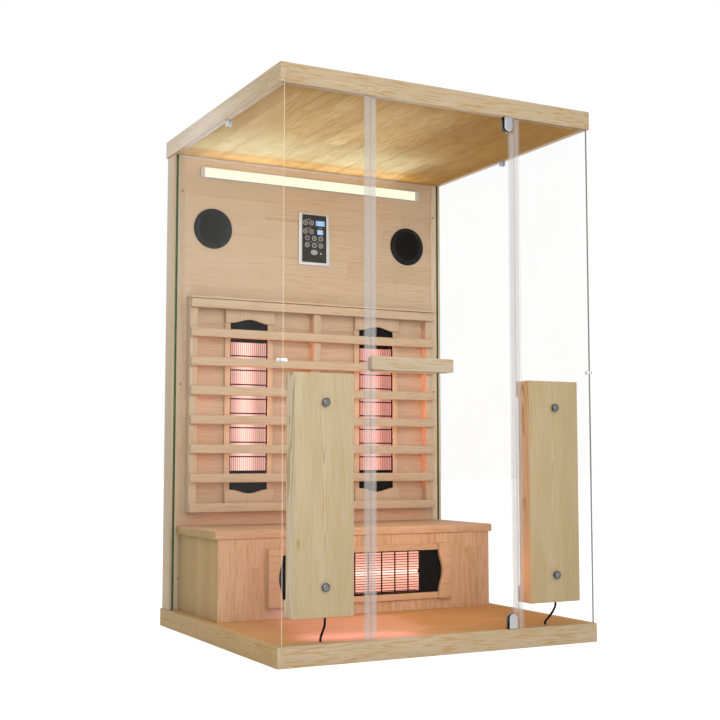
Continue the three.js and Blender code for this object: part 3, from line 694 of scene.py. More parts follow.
FRONT_BOARD = Pine("front_board", FRONT_PALE, FRONT_DARK, Grain.WIDTH_UPRIGHT, dashes=0.75,
                   ring_width=0.0035, lines=0.42, wander=0.03, knots=0.4)
# Base side boards: painted shade, a darker and more saturated copy of the board wood.
BASE_SIDE_PAINTED_SHADE = Pine("base_side_board", SIDE_PAINTED_SHADE_PALE, SIDE_PAINTED_SHADE_DARK, Grain.DEPTH_UPRIGHT, ring_width=0.0045,
                       wander=0.03, knots=0.4)
# Roof side boards: a paler, greyer wood as painted sheen, on top of a real coat.
ROOF_SIDE_PAINTED_SHEEN = Pine("roof_side_board", (0.63, 0.49, 0.31), (0.40, 0.27, 0.13), Grain.DEPTH_UPRIGHT,
                       ring_width=0.0045, lines=0.3, wander=0.03, coat=0.48)
BOARD_END = Pine("board_end", END_PALE, END_DARK, Grain.HEIGHT_FRONT, ring_width=0.004, lines=0.25)
# Posts: a pale wood that is partly painted sheen; the right post has a lighter copy as painted light,
# the left post's front a darker copy as painted shade.
POST_WOOD = Pine("post_wood", (0.66, 0.54, 0.40), (0.45, 0.335, 0.20), Grain.HEIGHT_SIDE, dashes=0.3,
                 ring_width=0.005, lines=0.3, wander=0.03, coat=0.1)
POST_RIGHT_PAINTED_LIGHT = replace(POST_WOOD, name="post_right_wood", pale=(0.74, 0.62, 0.47))
POST_FRONT_PAINTED_SHADE = replace(POST_WOOD, name="post_front_wood", pale=(0.575, 0.48, 0.36),
                          grain=Grain.HEIGHT_FRONT)
BACK_BOARD = Pine("back_board", BACK_PALE, BACK_DARK, Grain.HEIGHT_FRONT, strip_width=0.145,
                  strip_length=4.0, heart=0.05, ring_width=0.009, roughness=0.65)
COVER_BOARD = replace(BACK_BOARD, name="cover_board", grain=Grain.WIDTH_FLAT, strip_width=0.18)
WALL_WOOD = Pine("wall_wood", INNER_PALE, INNER_DARK, Grain.WIDTH_UPRIGHT, dashes=0.3, lines=0.25,
                 wander=0.03, strip_width=0.072)
# Undersides of the slats: orange wood as painted heater glow.
SLAT_UNDER_PAINTED_GLOW = Pine("slat_under", (0.70, 0.34, 0.14), (0.50, 0.21, 0.07), Grain.WIDTH_UPRIGHT, lines=0.25)
SLAT_WOOD = replace(WALL_WOOD, name="slat_wood", strip_width=0.0)
STILE_WOOD = replace(SLAT_WOOD, name="stile_wood", grain=Grain.HEIGHT_FRONT)
BENCH_FRONT_WOOD = Pine("bench_front", BENCH_PALE, BENCH_DARK, Grain.HEIGHT_FRONT, strip_width=0.064,
                        lines=0.3, wander=0.03)
# Bench box ends and seat ends: a darker, more saturated copy of the bench wood, as painted shade.
BENCH_SIDE_PAINTED_SHADE = Pine("bench_side", (0.51, 0.365, 0.16), (0.29, 0.17, 0.045), Grain.HEIGHT_SIDE,
                       strip_width=0.064, lines=0.3, wander=0.03)
SEAT_END_PAINTED_SHADE = replace(BENCH_SIDE_PAINTED_SHADE, name="seat_end", grain=Grain.DEPTH_UPRIGHT, strip_width=0.0)
SEAT_WOOD = Pine("seat_wood", BENCH_PALE, BENCH_DARK, Grain.WIDTH_FLAT, strip_width=0.064, lines=0.3)
BENCH_RAIL_WOOD = Pine("bench_rail", BENCH_PALE, BENCH_DARK, Grain.WIDTH_UPRIGHT, lines=0.3)
FLOOR_WOOD = Pine("floor_wood", (0.62, 0.36, 0.152), (0.40, 0.20, 0.068), Grain.WIDTH_FLAT, dashes=0.65,
                  strip_width=0.09, strip_tone=0.2, lines=0.4, shine=0.0)
CEILING_WOOD = Pine("ceiling_wood", (0.53, 0.32, 0.105), (0.24, 0.11, 0.02), Grain.DEPTH_FLAT,
                    warm=(0.36, 0.17, 0.03), dashes=0.7, strip_width=0.085, strip_length=1.4,
                    lines=0.35, wander=0.03, cloud=1.1, shine=0.0)
BOX_WOOD = Pine("box_wood", BOX_PALE, BOX_DARK, Grain.HEIGHT_FRONT, warm=(0.53, 0.36, 0.12),
                dashes=0.35, heart=0.03, ring_width=0.0055, lines=0.85, wander=0.06, knots=0.8)
BOX_RIGHT_WOOD = replace(BOX_WOOD, name="box_right_wood", pale=(0.565, 0.45, 0.285),
                         dark=(0.40, 0.27, 0.10))
# Heater box sides: a paler copy as painted light, the inner side an orange copy as painted heater glow.
BOX_SIDE_PAINTED_LIGHT = replace(BOX_WOOD, name="box_side_wood", pale=(0.76, 0.64, 0.47),
                        grain=Grain.HEIGHT_SIDE)
BOX_INNER_PAINTED_GLOW = replace(BOX_SIDE_PAINTED_LIGHT, name="box_inner_wood", pale=(0.78, 0.49, 0.29),
                         dark=(0.42, 0.22, 0.07))
HANDLE_WOOD = Pine("handle_wood", (0.615, 0.51, 0.385), (0.43, 0.31, 0.15), Grain.WIDTH_UPRIGHT,
                   lines=0.2)

STEEL = Moulded("satin_steel", (0.74, 0.75, 0.77), roughness=0.28, metallic=1.0, fine=500.0, shift=0.06)
HINGE_STEEL = replace(STEEL, name="hinge_steel", colour=(0.44, 0.44, 0.45), roughness=0.3)
# Bolt heads: a lighter face, and a darker copy on the rim as painted shade.
BOLT_STEEL = Moulded("bolt_steel", (0.18, 0.19, 0.195), roughness=0.32, metallic=1.0, fine=1400.0)
BOLT_RIM_PAINTED_SHADE = Moulded("bolt_rim", (0.07, 0.075, 0.08), roughness=0.35, metallic=1.0, fine=1400.0)
FRAME_METAL = Moulded("frame_metal", (0.64, 0.64, 0.64), roughness=0.35, metallic=0.5, shift=0.05)
BLACK_RUBBER = Moulded("black_rubber", (0.004, 0.0035, 0.0035), roughness=0.6, shine=0.05)
GUARD_BLACK = Moulded("guard_black", (0.03, 0.008, 0.006), roughness=0.5, shine=0.05)
# Bench heater guard wires: a red emission as painted glow of the tube's light.
GUARD_PAINTED_GLOW = replace(GUARD_BLACK, name="guard_red", glow=(0.19, 0.03, 0.015))
SPEAKER_FACE = Moulded("speaker_face", (0.0024, 0.0019, 0.0017), roughness=0.6, fine=300.0, grit=0.02,
                       shine=0.05)
SPEAKER_RING = Moulded("speaker_ring", (0.008, 0.007, 0.0065), roughness=0.4, fine=300.0, grit=0.04,
                       shine=0.15)
KEYPAD_FOIL = Moulded("keypad_foil", (0.035, 0.034, 0.030), roughness=0.35, shift=0.25, shine=0.25)
KEY_GREY = Moulded("key_grey", (0.36, 0.36, 0.42), roughness=0.4, shift=0.3)
MARK_GREY = Moulded("mark_grey", (0.62, 0.62, 0.65), roughness=0.5)
UNIT_ENAMEL = Moulded("unit_enamel", (0.25, 0.26, 0.27), roughness=0.5, metallic=0.3)
LIGHT_METAL = Moulded("light_metal", (0.60, 0.61, 0.62), roughness=0.4, metallic=0.3, shift=0.05)
SCREW_METAL = Moulded("screw_metal", (0.26, 0.17, 0.10), roughness=0.35, metallic=1.0)
DIFFUSER = Glowing("lit_diffuser", (0.92, 0.89, 0.64), (0.96, 0.94, 0.75))
DISPLAY_GLOW = Glowing("display_glow", (0.22, 0.40, 0.70), (0.32, 0.55, 0.85))
DIGIT_GLOW = Glowing("digit_glow", (0.70, 0.82, 0.95), (0.82, 0.92, 1.0))
SEAL = SealPlastic("seal_plastic", (0.60, 0.58, 0.56), 0.2)

POST_EDGE = PaneEdge(Axis.DEPTH, 0.4712, 0.6, (0.10, 0.26, 0.10), 0.85)
SIDE_GLASS = PaneGlass("side_glass", 0.02, (POST_EDGE,))
# The front left pane's pale edge line is painted light, heater glow refracted in the glass edge.
FRONT_LEFT_GLASS = PaneGlass("front_left_glass", 0.004, (
    PaneEdge(Axis.WIDTH, -0.5852, -0.5828, (0.95, 0.78, 0.62), 0.55, deepest=-0.533),))
FRONT_RIGHT_GLASS = PaneGlass("front_right_glass", 0.004, (
    PaneEdge(Axis.WIDTH, 0.5918, 0.6, (0.11, 0.12, 0.125), 0.85),))
DOOR_GLASS = PaneGlass("door_glass", 0.004)

Finish = Moulded | PaneGlass | SealPlastic | Glowing


def material_of(finish: Finish) -> bpy.types.Material:
    """Returns a finish's material, built the first time it is asked for."""
    return bpy.data.materials.get(finish.name) or finish.material()


def deselect() -> None:
    """Leaves edit mode and clears the selection."""
    if bpy.context.mode != "OBJECT":
        bpy.ops.object.mode_set(mode="OBJECT")
    bpy.ops.object.select_all(action="DESELECT")


def activate(piece: Piece) -> None:
    """Selects one piece alone and makes it active.

    Args:
        piece: Piece to work on.
    """
    deselect()
    piece.select_set(True)
    bpy.context.view_layer.objects.active = piece


def settle_place(name: str) -> Piece:
    """Names the new primitive and puts its place, turn and size into its mesh.

    Args:
        name: Name of the piece.

    Returns:
        The piece, at the origin.
    """
    piece = bpy.context.object
    piece.name = name
    piece.data.name = name
    bpy.ops.object.transform_apply(location=True, rotation=True, scale=True)
    return piece


def add_block(name: str, low: Sequence[float], high: Sequence[float]) -> Piece:
    """Adds a cube primitive between two corners.

    Args:
        name: Name of the piece.
        low: Lowest corner, in millimetres.
        high: Highest corner, in millimetres.

    Returns:
        The block.
    """
    deselect()
    size = (Vector(high) - Vector(low)) * MM
    bpy.ops.mesh.primitive_cube_add(size=1.0, location=Vector(low) * MM + size / 2.0, scale=size)
    return settle_place(name)


def add_rod(
    name: str, start: Sequence[float], end: Sequence[float], radius: float, sides: int
) -> Piece:
    """Adds a cylinder primitive between two points.

    Args:
        name: Name of the piece.
        start: Middle of one end, in millimetres.
        end: Middle of the other end, in millimetres.
        radius: Radius of the rod, in millimetres.
        sides: Number of its sides.

    Returns:
        The rod.
    """
    deselect()
    axis = (Vector(end) - Vector(start)) * MM
    bpy.ops.mesh.primitive_cylinder_add(
        vertices=sides, radius=radius * MM, depth=axis.length,
        location=(Vector(start) + Vector(end)) * MM / 2.0,
        rotation=axis.to_track_quat("Z", "Y").to_euler())
    return settle_place(name)


FaceTest = Callable[[Vector, Vector], bool]
Step = Callable[[], object]


def shape_faces(piece: Piece, chosen: FaceTest, *steps: Step) -> None:
    """Selects faces in edit mode by their normal and middle, and runs operators on them.

    Args:
        piece: Piece to shape.
        chosen: Says for a face's normal and middle whether it is taken.
        *steps: Operators to run in turn.
    """
    activate(piece)
    bpy.ops.object.mode_set(mode="EDIT")
    bpy.ops.mesh.select_mode(type="FACE")
    bpy.ops.mesh.select_all(action="DESELECT")
    mesh = bmesh.from_edit_mesh(piece.data)
    for face in mesh.faces:
        if chosen(face.normal, face.calc_center_median()):
            face.select_set(True)
    bmesh.update_edit_mesh(piece.data)
    for step in steps:
        step()
    bpy.ops.object.mode_set(mode="OBJECT")


def inset(width: float, rise: float = 0.0) -> Step:
    """Returns a step that insets the chosen faces and raises what is left, in millimetres."""
    return lambda: bpy.ops.mesh.inset(thickness=width * MM, depth=rise * MM)


def to_rear(depth: float) -> Step:
    """Returns a step that extrudes the chosen faces to the rear, in millimetres."""
    move = {"value": (0.0, depth * MM, 0.0)}
    return lambda: bpy.ops.mesh.extrude_region_move(TRANSFORM_OT_translate=move)


def faces_front(normal: Vector, _: Vector) -> bool:
    """Says whether a face looks to the front."""
    return normal.y < -SQUARE_ON


def faces_rear(normal: Vector, _: Vector) -> bool:
    """Says whether a face looks to the rear."""
    return normal.y > SQUARE_ON


def faces_down(normal: Vector, _: Vector) -> bool:
    """Says whether a face looks down."""
    return normal.z < -SLANTED


def faces_sideways(normal: Vector, _: Vector) -> bool:
    """Says whether a face looks to the left or to the right."""
    return abs(normal.x) > NEARLY_SQUARE


def faces_edgewise(normal: Vector, _: Vector) -> bool:
    """Says whether a face is on the rim of an upright plate."""
    return abs(normal.y) < EDGEWISE


def soften(piece: Piece, width: float, segments: int = 2) -> Piece:
    """Rounds the sharp edges of a piece with a bevel that is applied.

    Args:
        piece: Piece to finish.
        width: Width of the rounding, in millimetres.
        segments: Number of steps in the rounding.

    Returns:
        The same piece.
    """
    activate(piece)
    bevel = piece.modifiers.new("rounding", "BEVEL")
    bevel.width = width * MM
    bevel.segments = segments
    bevel.limit_method = "ANGLE"
    bevel.angle_limit = ROUNDED_ANGLE
    bpy.ops.object.modifier_apply(modifier=bevel.name)
    bpy.ops.object.shade_smooth_by_angle(angle=SMOOTH_ANGLE)
    return piece


def repeat(piece: Piece, count: int, step: Sequence[float]) -> Piece:
    """Repeats a piece in a row with an array modifier that is applied.

    Args:
        piece: Piece to repeat.
        count: Number of copies, with the first.
        step: Move from one copy to the next, in millimetres.

    Returns:
        The same piece.
    """
    activate(piece)
    row = piece.modifiers.new("row", "ARRAY")
    row.count = count
    row.use_relative_offset = False
    row.use_constant_offset = True
    row.constant_offset_displace = Vector(step) * MM
    bpy.ops.object.modifier_apply(modifier=row.name)
    return piece


def copy_with(piece: Piece, name: str, matrix: Matrix) -> Piece:
    """Copies a piece with a mesh of its own, moved by a matrix.

    Args:
        piece: Piece to copy.
        name: Name of the copy.
        matrix: Move or mirror that the mesh gets.

    Returns:
        The copy.
    """
    mesh = piece.data.copy()
    mesh.name = name
    mesh.transform(matrix)
    if matrix.determinant() < 0.0:
        mesh.flip_normals()
    copy = bpy.data.objects.new(name, mesh)
    bpy.context.scene.collection.objects.link(copy)
    return copy


def copy_moved(piece: Piece, name: str, move: Sequence[float]) -> Piece:
    """Copies a piece to another place, by a move in millimetres."""
    return copy_with(piece, name, Matrix.Translation(Vector(move) * MM))


def copy_mirrored(piece: Piece, name: str) -> Piece:
    """Copies a piece to the other side of the cabin."""
    return copy_with(piece, name, Matrix.Scale(-1.0, 4, (1.0, 0.0, 0.0)))


def join(name: str, parts: Sequence[Piece]) -> Piece:
    """Joins pieces into one object.

    Args:
        name: Name of the joined piece.
        parts: Pieces to join; the first one stays.

    Returns:
        The joined piece.
    """
    activate(parts[0])
    for part in parts[1:]:
        part.select_set(True)
    if len(parts) > 1:
        bpy.ops.object.join()
    parts[0].name = name
    parts[0].data.name = name
    return parts[0]


def dress(piece: Piece, material: bpy.types.Material) -> Piece:
    """Gives a piece one material in place of all it has.

    Args:
        piece: Piece or CAD node to dress.
        material: Its material.

    Returns:
        The same piece.
    """
    piece.data.materials.clear()
    piece.data.materials.append(material)
    return piece


def dress_faces(piece: Piece, material: bpy.types.Material, chosen: FaceTest) -> None:
    """Gives some faces of a piece another material.

    Args:
        piece: Piece that already has its main material.
        material: Material of the chosen faces.
        chosen: Says for a face's normal and middle whether it is taken.
    """
    piece.data.materials.append(material)
    last = len(piece.data.materials) - 1
    for face in piece.data.polygons:
        if chosen(face.normal, face.center):
            face.material_index = last


def settle(piece: Piece, body: str = CABIN, replaced: Sequence[str] = ()) -> Piece:
    """Lets a finished piece ride on its body.

    Args:
        piece: Finished piece.
        body: Body that carries it.
        replaced: CAD nodes that it stands for.

    Returns:
        The same piece.
    """
    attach(piece, body)
    if replaced:
        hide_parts(*replaced)
    LOG.info("%s rides on %s with %d faces", piece.name, body, len(piece.data.polygons))
    return piece


def middle(node: str) -> Vector:
    """Returns the middle of a CAD node's box, in metres."""
    low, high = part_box(node)
    return (low + high) / 2.0


def corners(node: str) -> tuple[Vector, Vector]:
    """Returns the lowest and highest corner of a CAD node's box, in millimetres."""
    low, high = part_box(node)
    return low / MM, high / MM


def cut_for(wood: Pine, node: str) -> bpy.types.Material:
    """Returns a wood cut for a CAD node, with the heart behind the node's middle."""
    return wood.cut(node, middle(node))


def dress_node(node: str, material: bpy.types.Material) -> None:
    """Gives a CAD node its finish."""
    dress(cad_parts[node], material)
    LOG.info("%s has the finish %s", node, material.name)


def eased_copy(node: str, width: float) -> Piece:
    """Copies a CAD node, merges its triangles into faces and rounds its edges.

    Args:
        node: CAD node to copy.
        width: Width of the rounding, in millimetres.

    Returns:
        The rounded copy, not yet dressed.
    """
    piece = copy_with(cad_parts[node], f"{node}_eased", Matrix.Identity(4))
    activate(piece)
    bpy.ops.object.mode_set(mode="EDIT")
    bpy.ops.mesh.select_all(action="SELECT")
    bpy.ops.mesh.remove_doubles(threshold=MERGED_DISTANCE)
    bpy.ops.mesh.dissolve_limited(angle_limit=FLAT_ANGLE)
    bpy.ops.object.mode_set(mode="OBJECT")
    return soften(piece, width)


def ease(node: str, finish: Pine | Finish, width: float, body: str = CABIN) -> Piece:
    """Stands in for a CAD node with a rounded copy.

    Args:
        node: CAD node to copy.
        finish: Finish of the copy.
        width: Width of the rounding, in millimetres.
        body: Body that carries it.

    Returns:
        The rounded piece.
    """
    piece = eased_copy(node, width)
    dress(piece, cut_for(finish, node) if isinstance(finish, Pine) else material_of(finish))
    return settle(piece, body, (node,))


@dataclass
class Studio:
    """Camera, lamps, floor and sky."""

    camera_place: Point = (-2.0829, -3.9018, 0.6226)
    yaw: float = 27.67
    pitch: float = 4.74
    lens: float = 60.375
    sensor: float = 36.0
    sky: float = 0.62
    floor_size: float = 60.0
    floor_colour: Colour = (0.82, 0.82, 0.82)
    floor_lift: float = 0.6
    floor_drop: float = 0.0004
    glass_crossings: int = 32

    def add_camera(self) -> None:
        """Makes the camera at the photograph's viewing angle."""
        data = bpy.data.cameras.new("camera")
        data.lens = self.lens
        data.sensor_width = self.sensor
        camera = bpy.data.objects.new("camera", data)
        camera.location = self.camera_place
        camera.rotation_euler = (math.radians(90.0 + self.pitch), 0.0, math.radians(-self.yaw))
        bpy.context.scene.collection.objects.link(camera)
        bpy.context.scene.camera = camera

    def seen(self, graph: Graph) -> Socket:
        """Tells rays that show the background from rays that light the object.

        Args:
            graph: Graph of the background's material.

        Returns:
            1 for rays from the camera, in gloss and through glass, and 0 for others.
        """
        path = graph.node("ShaderNodeLightPath", {}).outputs
        rays = ("Is Camera Ray", "Is Glossy Ray", "Is Transmission Ray")
        return graph.chain("MAXIMUM", *(path[ray] for ray in rays))

    def add_sky(self) -> None:
        """Makes a backdrop that looks white, and is dimmer as a light."""
        world = bpy.data.worlds.new("sky")
        world.use_nodes = True
        bpy.context.scene.world = world
        graph = Graph(world.node_tree)
        background = world.node_tree.nodes["Background"]
        background.inputs["Color"].default_value = rgba(WHITE)
        shown = graph.product(self.seen(graph), 1.0 - self.sky)
        graph.feed(background.inputs["Strength"], graph.total(shown, self.sky))

    def add_floor(self) -> None:
        """Makes the pale floor, which keeps the object's shadow."""
        deselect()
        bpy.ops.mesh.primitive_plane_add(size=self.floor_size, location=(0.0, 0.0, -self.floor_drop))
        floor = settle_place("studio_floor")
        material = bpy.data.materials.new("studio_floor")
        material.use_nodes = True
        tree = material.node_tree
        tree.nodes.remove(tree.nodes["Principled BSDF"])
        graph = Graph(tree)
        diffuse = graph.node("ShaderNodeBsdfDiffuse", {"Color": rgba(self.floor_colour)}).outputs[0]
        lift = graph.node("ShaderNodeEmission", {"Strength": self.floor_lift}).outputs[0]
        bright = graph.node("ShaderNodeAddShader", {0: diffuse, 1: lift}).outputs[0]
        mixed = graph.node("ShaderNodeMixShader", {0: self.seen(graph), 1: diffuse, 2: bright})
        graph.feed(tree.nodes["Material Output"].inputs["Surface"], mixed.outputs[0])
        dress(floor, material)

    def build(self) -> None:
        """Makes the floor, the sky and the studio lamps."""
        scene = bpy.context.scene
        scene.view_settings.view_transform = "Standard"
        scene.cycles.transparent_max_bounces = self.glass_crossings
        self.add_sky()
        self.add_floor()
        for lamp in STUDIO_LAMPS:
            lamp.build()


@dataclass
class Lamp:
    """One soft rectangular lamp."""

    name: str
    place: Point
    towards: Point
    size: Pair
    power: float
    colour: Colour = WHITE
    turn: float = 0.0
    spread: float = 180.0
    mirrored: bool = False

    @staticmethod
    def ahead(place: Point, way: Point) -> Point:
        """Returns the point one step ahead of a place."""
        return tuple(start + step for start, step in zip(place, way))

    def build(self) -> None:
        """Makes the lamp, which the camera doesn't see."""
        data = bpy.data.lights.new(self.name, "AREA")
        data.shape = "RECTANGLE"
        data.size, data.size_y = self.size
        data.energy = self.power
        data.color = self.colour
        data.spread = math.radians(self.spread)
        lamp = bpy.data.objects.new(self.name, data)
        lamp.location = self.place
        aim = Vector(self.towards) - Vector(self.place)
        spin = Quaternion((0.0, 0.0, 1.0), math.radians(self.turn))
        lamp.rotation_euler = (aim.to_track_quat("-Z", "Y") @ spin).to_euler()
        lamp.visible_camera = False
        lamp.visible_glossy = self.mirrored
        bpy.context.scene.collection.objects.link(lamp)


STUDIO_LAMPS = (
    Lamp("front_softbox", (-1.2, -5.0, 2.3), (0.0, 0.2, 1.0), (4.0, 2.8), 114.0, mirrored=True),
    Lamp("side_softbox", (-1.9, 3.2, 2.4), (-0.6, 0.2, 1.6), (1.6, 1.6), 20.0, mirrored=True),
    Lamp("cabin_glow", (0.0, -0.35, 0.62), (0.0, 0.2, 0.1), (0.9, 0.3), 0.9, (1.0, 0.45, 0.2)),
    Lamp("cabin_fill", (0.0, -0.2, 1.2), (0.0, 1.0, 1.35), (0.9, 0.8), 0.9, (1.0, 0.92, 0.85)),
    Lamp("seat_glow", (0.0, 0.44, 0.405), (0.0, 0.475, 0.4), (1.0, 0.03), 0.03, (1.0, 0.15, 0.02)),
    Lamp("floor_pool", (-0.1705, -0.1807, 0.103), (-0.1705, -0.1807, 0.0), (0.453, 0.40), 0.377,
         (0.57, 0.374, 1.0), turn=-11.5),
    Lamp("floor_pool_end", (-0.269, -0.434, 0.114), (-0.269, -0.434, 0.0), (0.377, 0.12), 0.297,
         (0.62, 0.386, 1.0), turn=-11.5),
    Lamp("ceiling_pool", (-0.12, 0.225, 1.7094), (-0.12, -0.204, 2.7094), (0.92, 0.283), 3.75,
         (0.25, 0.465, 1.0)),
    Lamp("ceiling_band", (-0.1, 0.4175, 1.786), (-0.1, 0.4175, 2.8), (0.95, 0.105), 0.5,
         (0.2, 0.42, 1.0)),
    Lamp("ceiling_left", (-0.24, -0.197, 1.696), (-0.24, -0.197, 2.0), (0.69, 0.581), 1.9,
         (0.35, 0.53, 1.0)),
)


@dataclass
class HeaterCord:
    """Short cord from the underside of a heater box to the floor."""

    side: str
    route: tuple[Point, ...]
    diameter: float = 7.5
    end_gap: float = 0.3
    steps: int = 5
    roundness: int = 4

    @staticmethod
    def between(knots: Sequence[Vector], share: float) -> Vector:
        """Finds a point on the centripetal curve between the middle two of four knots.

        Args:
            knots: Four points in a row.
            share: 0 at the second knot, 1 at the third.

        Returns:
            The point.
        """
        times = [0.0]
        for before, after in zip(knots, knots[1:]):
            times.append(times[-1] + math.sqrt((after - before).length))
        time = times[1] + share * (times[2] - times[1])
        points = list(knots)
        for spans in (((0, 1), (1, 2), (2, 3)), ((0, 2), (1, 3)), ((1, 2),)):
            points = [
                points[index].lerp(points[index + 1], (time - times[low]) / (times[high] - times[low]))
                for index, (low, high) in enumerate(spans)
            ]
        return points[0]

    def line(self) -> list[Vector]:
        """Works out the smooth line through the route.

        Returns:
            Points along the cord, in metres.
        """
        knots = [Vector(point) for point in self.route]
        knots[0].z -= self.end_gap
        knots[-1].z += self.end_gap
        ends = [knots[0] * 2.0 - knots[1], *knots, knots[-1] * 2.0 - knots[-2]]
        points: list[Vector] = []
        for index in range(len(knots) - 1):
            four = ends[index:index + 4]
            points += [self.between(four, step / self.steps) for step in range(self.steps)]
        return [point * MM for point in (*points, knots[-1])]

    def build(self) -> None:
        """Makes the cord as one curve with a round section."""
        name = f"front_heater_{self.side}_lead"
        line = self.line()
        data = bpy.data.curves.new(name, "CURVE")
        data.dimensions = "3D"
        data.bevel_depth = self.diameter / 2.0 * MM
        data.bevel_resolution = self.roundness
        data.use_fill_caps = True
        spline = data.splines.new("POLY")
        spline.points.add(len(line) - 1)
        for point, place in zip(spline.points, line):
            point.co = (*place, 1.0)
        piece = bpy.data.objects.new(name, data)
        bpy.context.scene.collection.objects.link(piece)
        data.materials.append(material_of(BLACK_RUBBER))
        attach(piece, CABIN)
        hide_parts(f"front_heater_{self.side}_cord")


LEFT_CORD = HeaterCord("left", (
    (-430.0, -516.75, 141.5), (-430.0, -516.75, 131.0), (-428.5, -509.75, 112.0),
    (-432.5, -500.75, 89.0), (-434.4, -494.75, 73.0), (-434.4, -494.75, 64.0)))
RIGHT_CORD = HeaterCord("right", (
    (444.0, -516.75, 141.5), (444.0, -516.75, 130.0), (438.5, -509.25, 109.0),
    (424.5, -501.25, 87.0), (417.2, -494.25, 74.0), (417.2, -494.25, 64.0)))


@dataclass
class Surround:
    """Base and roof: boards round the floor and the ceiling, roof cover and power unit."""

    rounding: float = 0.8
    unit_rounding: float = 3.0

    def add_boards(self, part: str, wood: Pine, end: Pine) -> None:
        """Rounds the three boards of the base or of the roof.

        Args:
            part: Name of the base or of the roof.
            wood: Wood of the side boards.
            end: Wood that shows at their front ends.
        """
        for side in SIDES:
            name = f"{part}_{side}_board"
            dress_faces(ease(name, wood, self.rounding), cut_for(end, name), faces_front)
        ease(f"{part}_front_board", FRONT_BOARD, self.rounding)

    def build(self) -> None:
        """Rounds the boards and dresses the panels between them."""
        self.add_boards("base", BASE_SIDE_PAINTED_SHADE, BOARD_END)
        self.add_boards("roof", ROOF_SIDE_PAINTED_SHEEN, FRONT_BOARD)
        dress_node("floor_panel", cut_for(FLOOR_WOOD, "floor_panel"))
        dress_node("ceiling_panel", cut_for(CEILING_WOOD, "ceiling_panel"))
        ease("roof_cover", COVER_BOARD, self.rounding)
        ease("power_unit", UNIT_ENAMEL, self.unit_rounding)


@dataclass
class RearWall:
    """Posts with their screws, wall of glued strips, and rear panel."""

    screw_x: float = 561.0
    screw_heights: tuple[float, ...] = (180.0, 910.0, 1655.0)
    screw_radius: float = 4.2
    screw_rise: float = 1.3
    screw_seat: float = 0.2
    screw_sides: int = 20
    screw_rounding: float = 0.35
    socket_radius: float = 1.7
    socket_share: float = 0.6
    rounding: float = 1.0

    def add_screw(self) -> Piece:
        """Models one screw head in the front of the left post.

        Returns:
            The screw head.
        """
        face = corners("rear_post_left")[0].y
        start = (-self.screw_x, face + self.screw_seat, self.screw_heights[0])
        end = (-self.screw_x, face - self.screw_rise, self.screw_heights[0])
        screw = add_rod("post_screw_left_1", start, end, self.screw_radius, self.screw_sides)
        rim = self.screw_radius - self.socket_radius
        shape_faces(screw, faces_front, inset(rim), to_rear(self.screw_rise * self.socket_share))
        return dress(soften(screw, self.screw_rounding), material_of(SCREW_METAL))

    def build(self) -> None:
        """Rounds the posts and the rear panel, and dresses the wall."""
        left_post = ease("rear_post_left", POST_WOOD, self.rounding)
        # The left post's front gets painted shade, the right post painted light.
        dress_faces(left_post, cut_for(POST_FRONT_PAINTED_SHADE, "rear_post_left"), faces_front)
        ease("rear_post_right", POST_RIGHT_PAINTED_LIGHT, self.rounding)
        ease("rear_panel", BACK_BOARD, self.rounding)
        dress_node("wall_panel", cut_for(WALL_WOOD, "wall_panel"))
        first = self.add_screw()
        screws = [first]
        for number, height in enumerate(self.screw_heights[1:], 2):
            rise = height - self.screw_heights[0]
            screws.append(copy_moved(first, f"post_screw_left_{number}", (0.0, 0.0, rise)))
        screws += [copy_mirrored(screw, screw.name.replace("left", "right")) for screw in screws]
        for screw in screws:
            settle(screw)


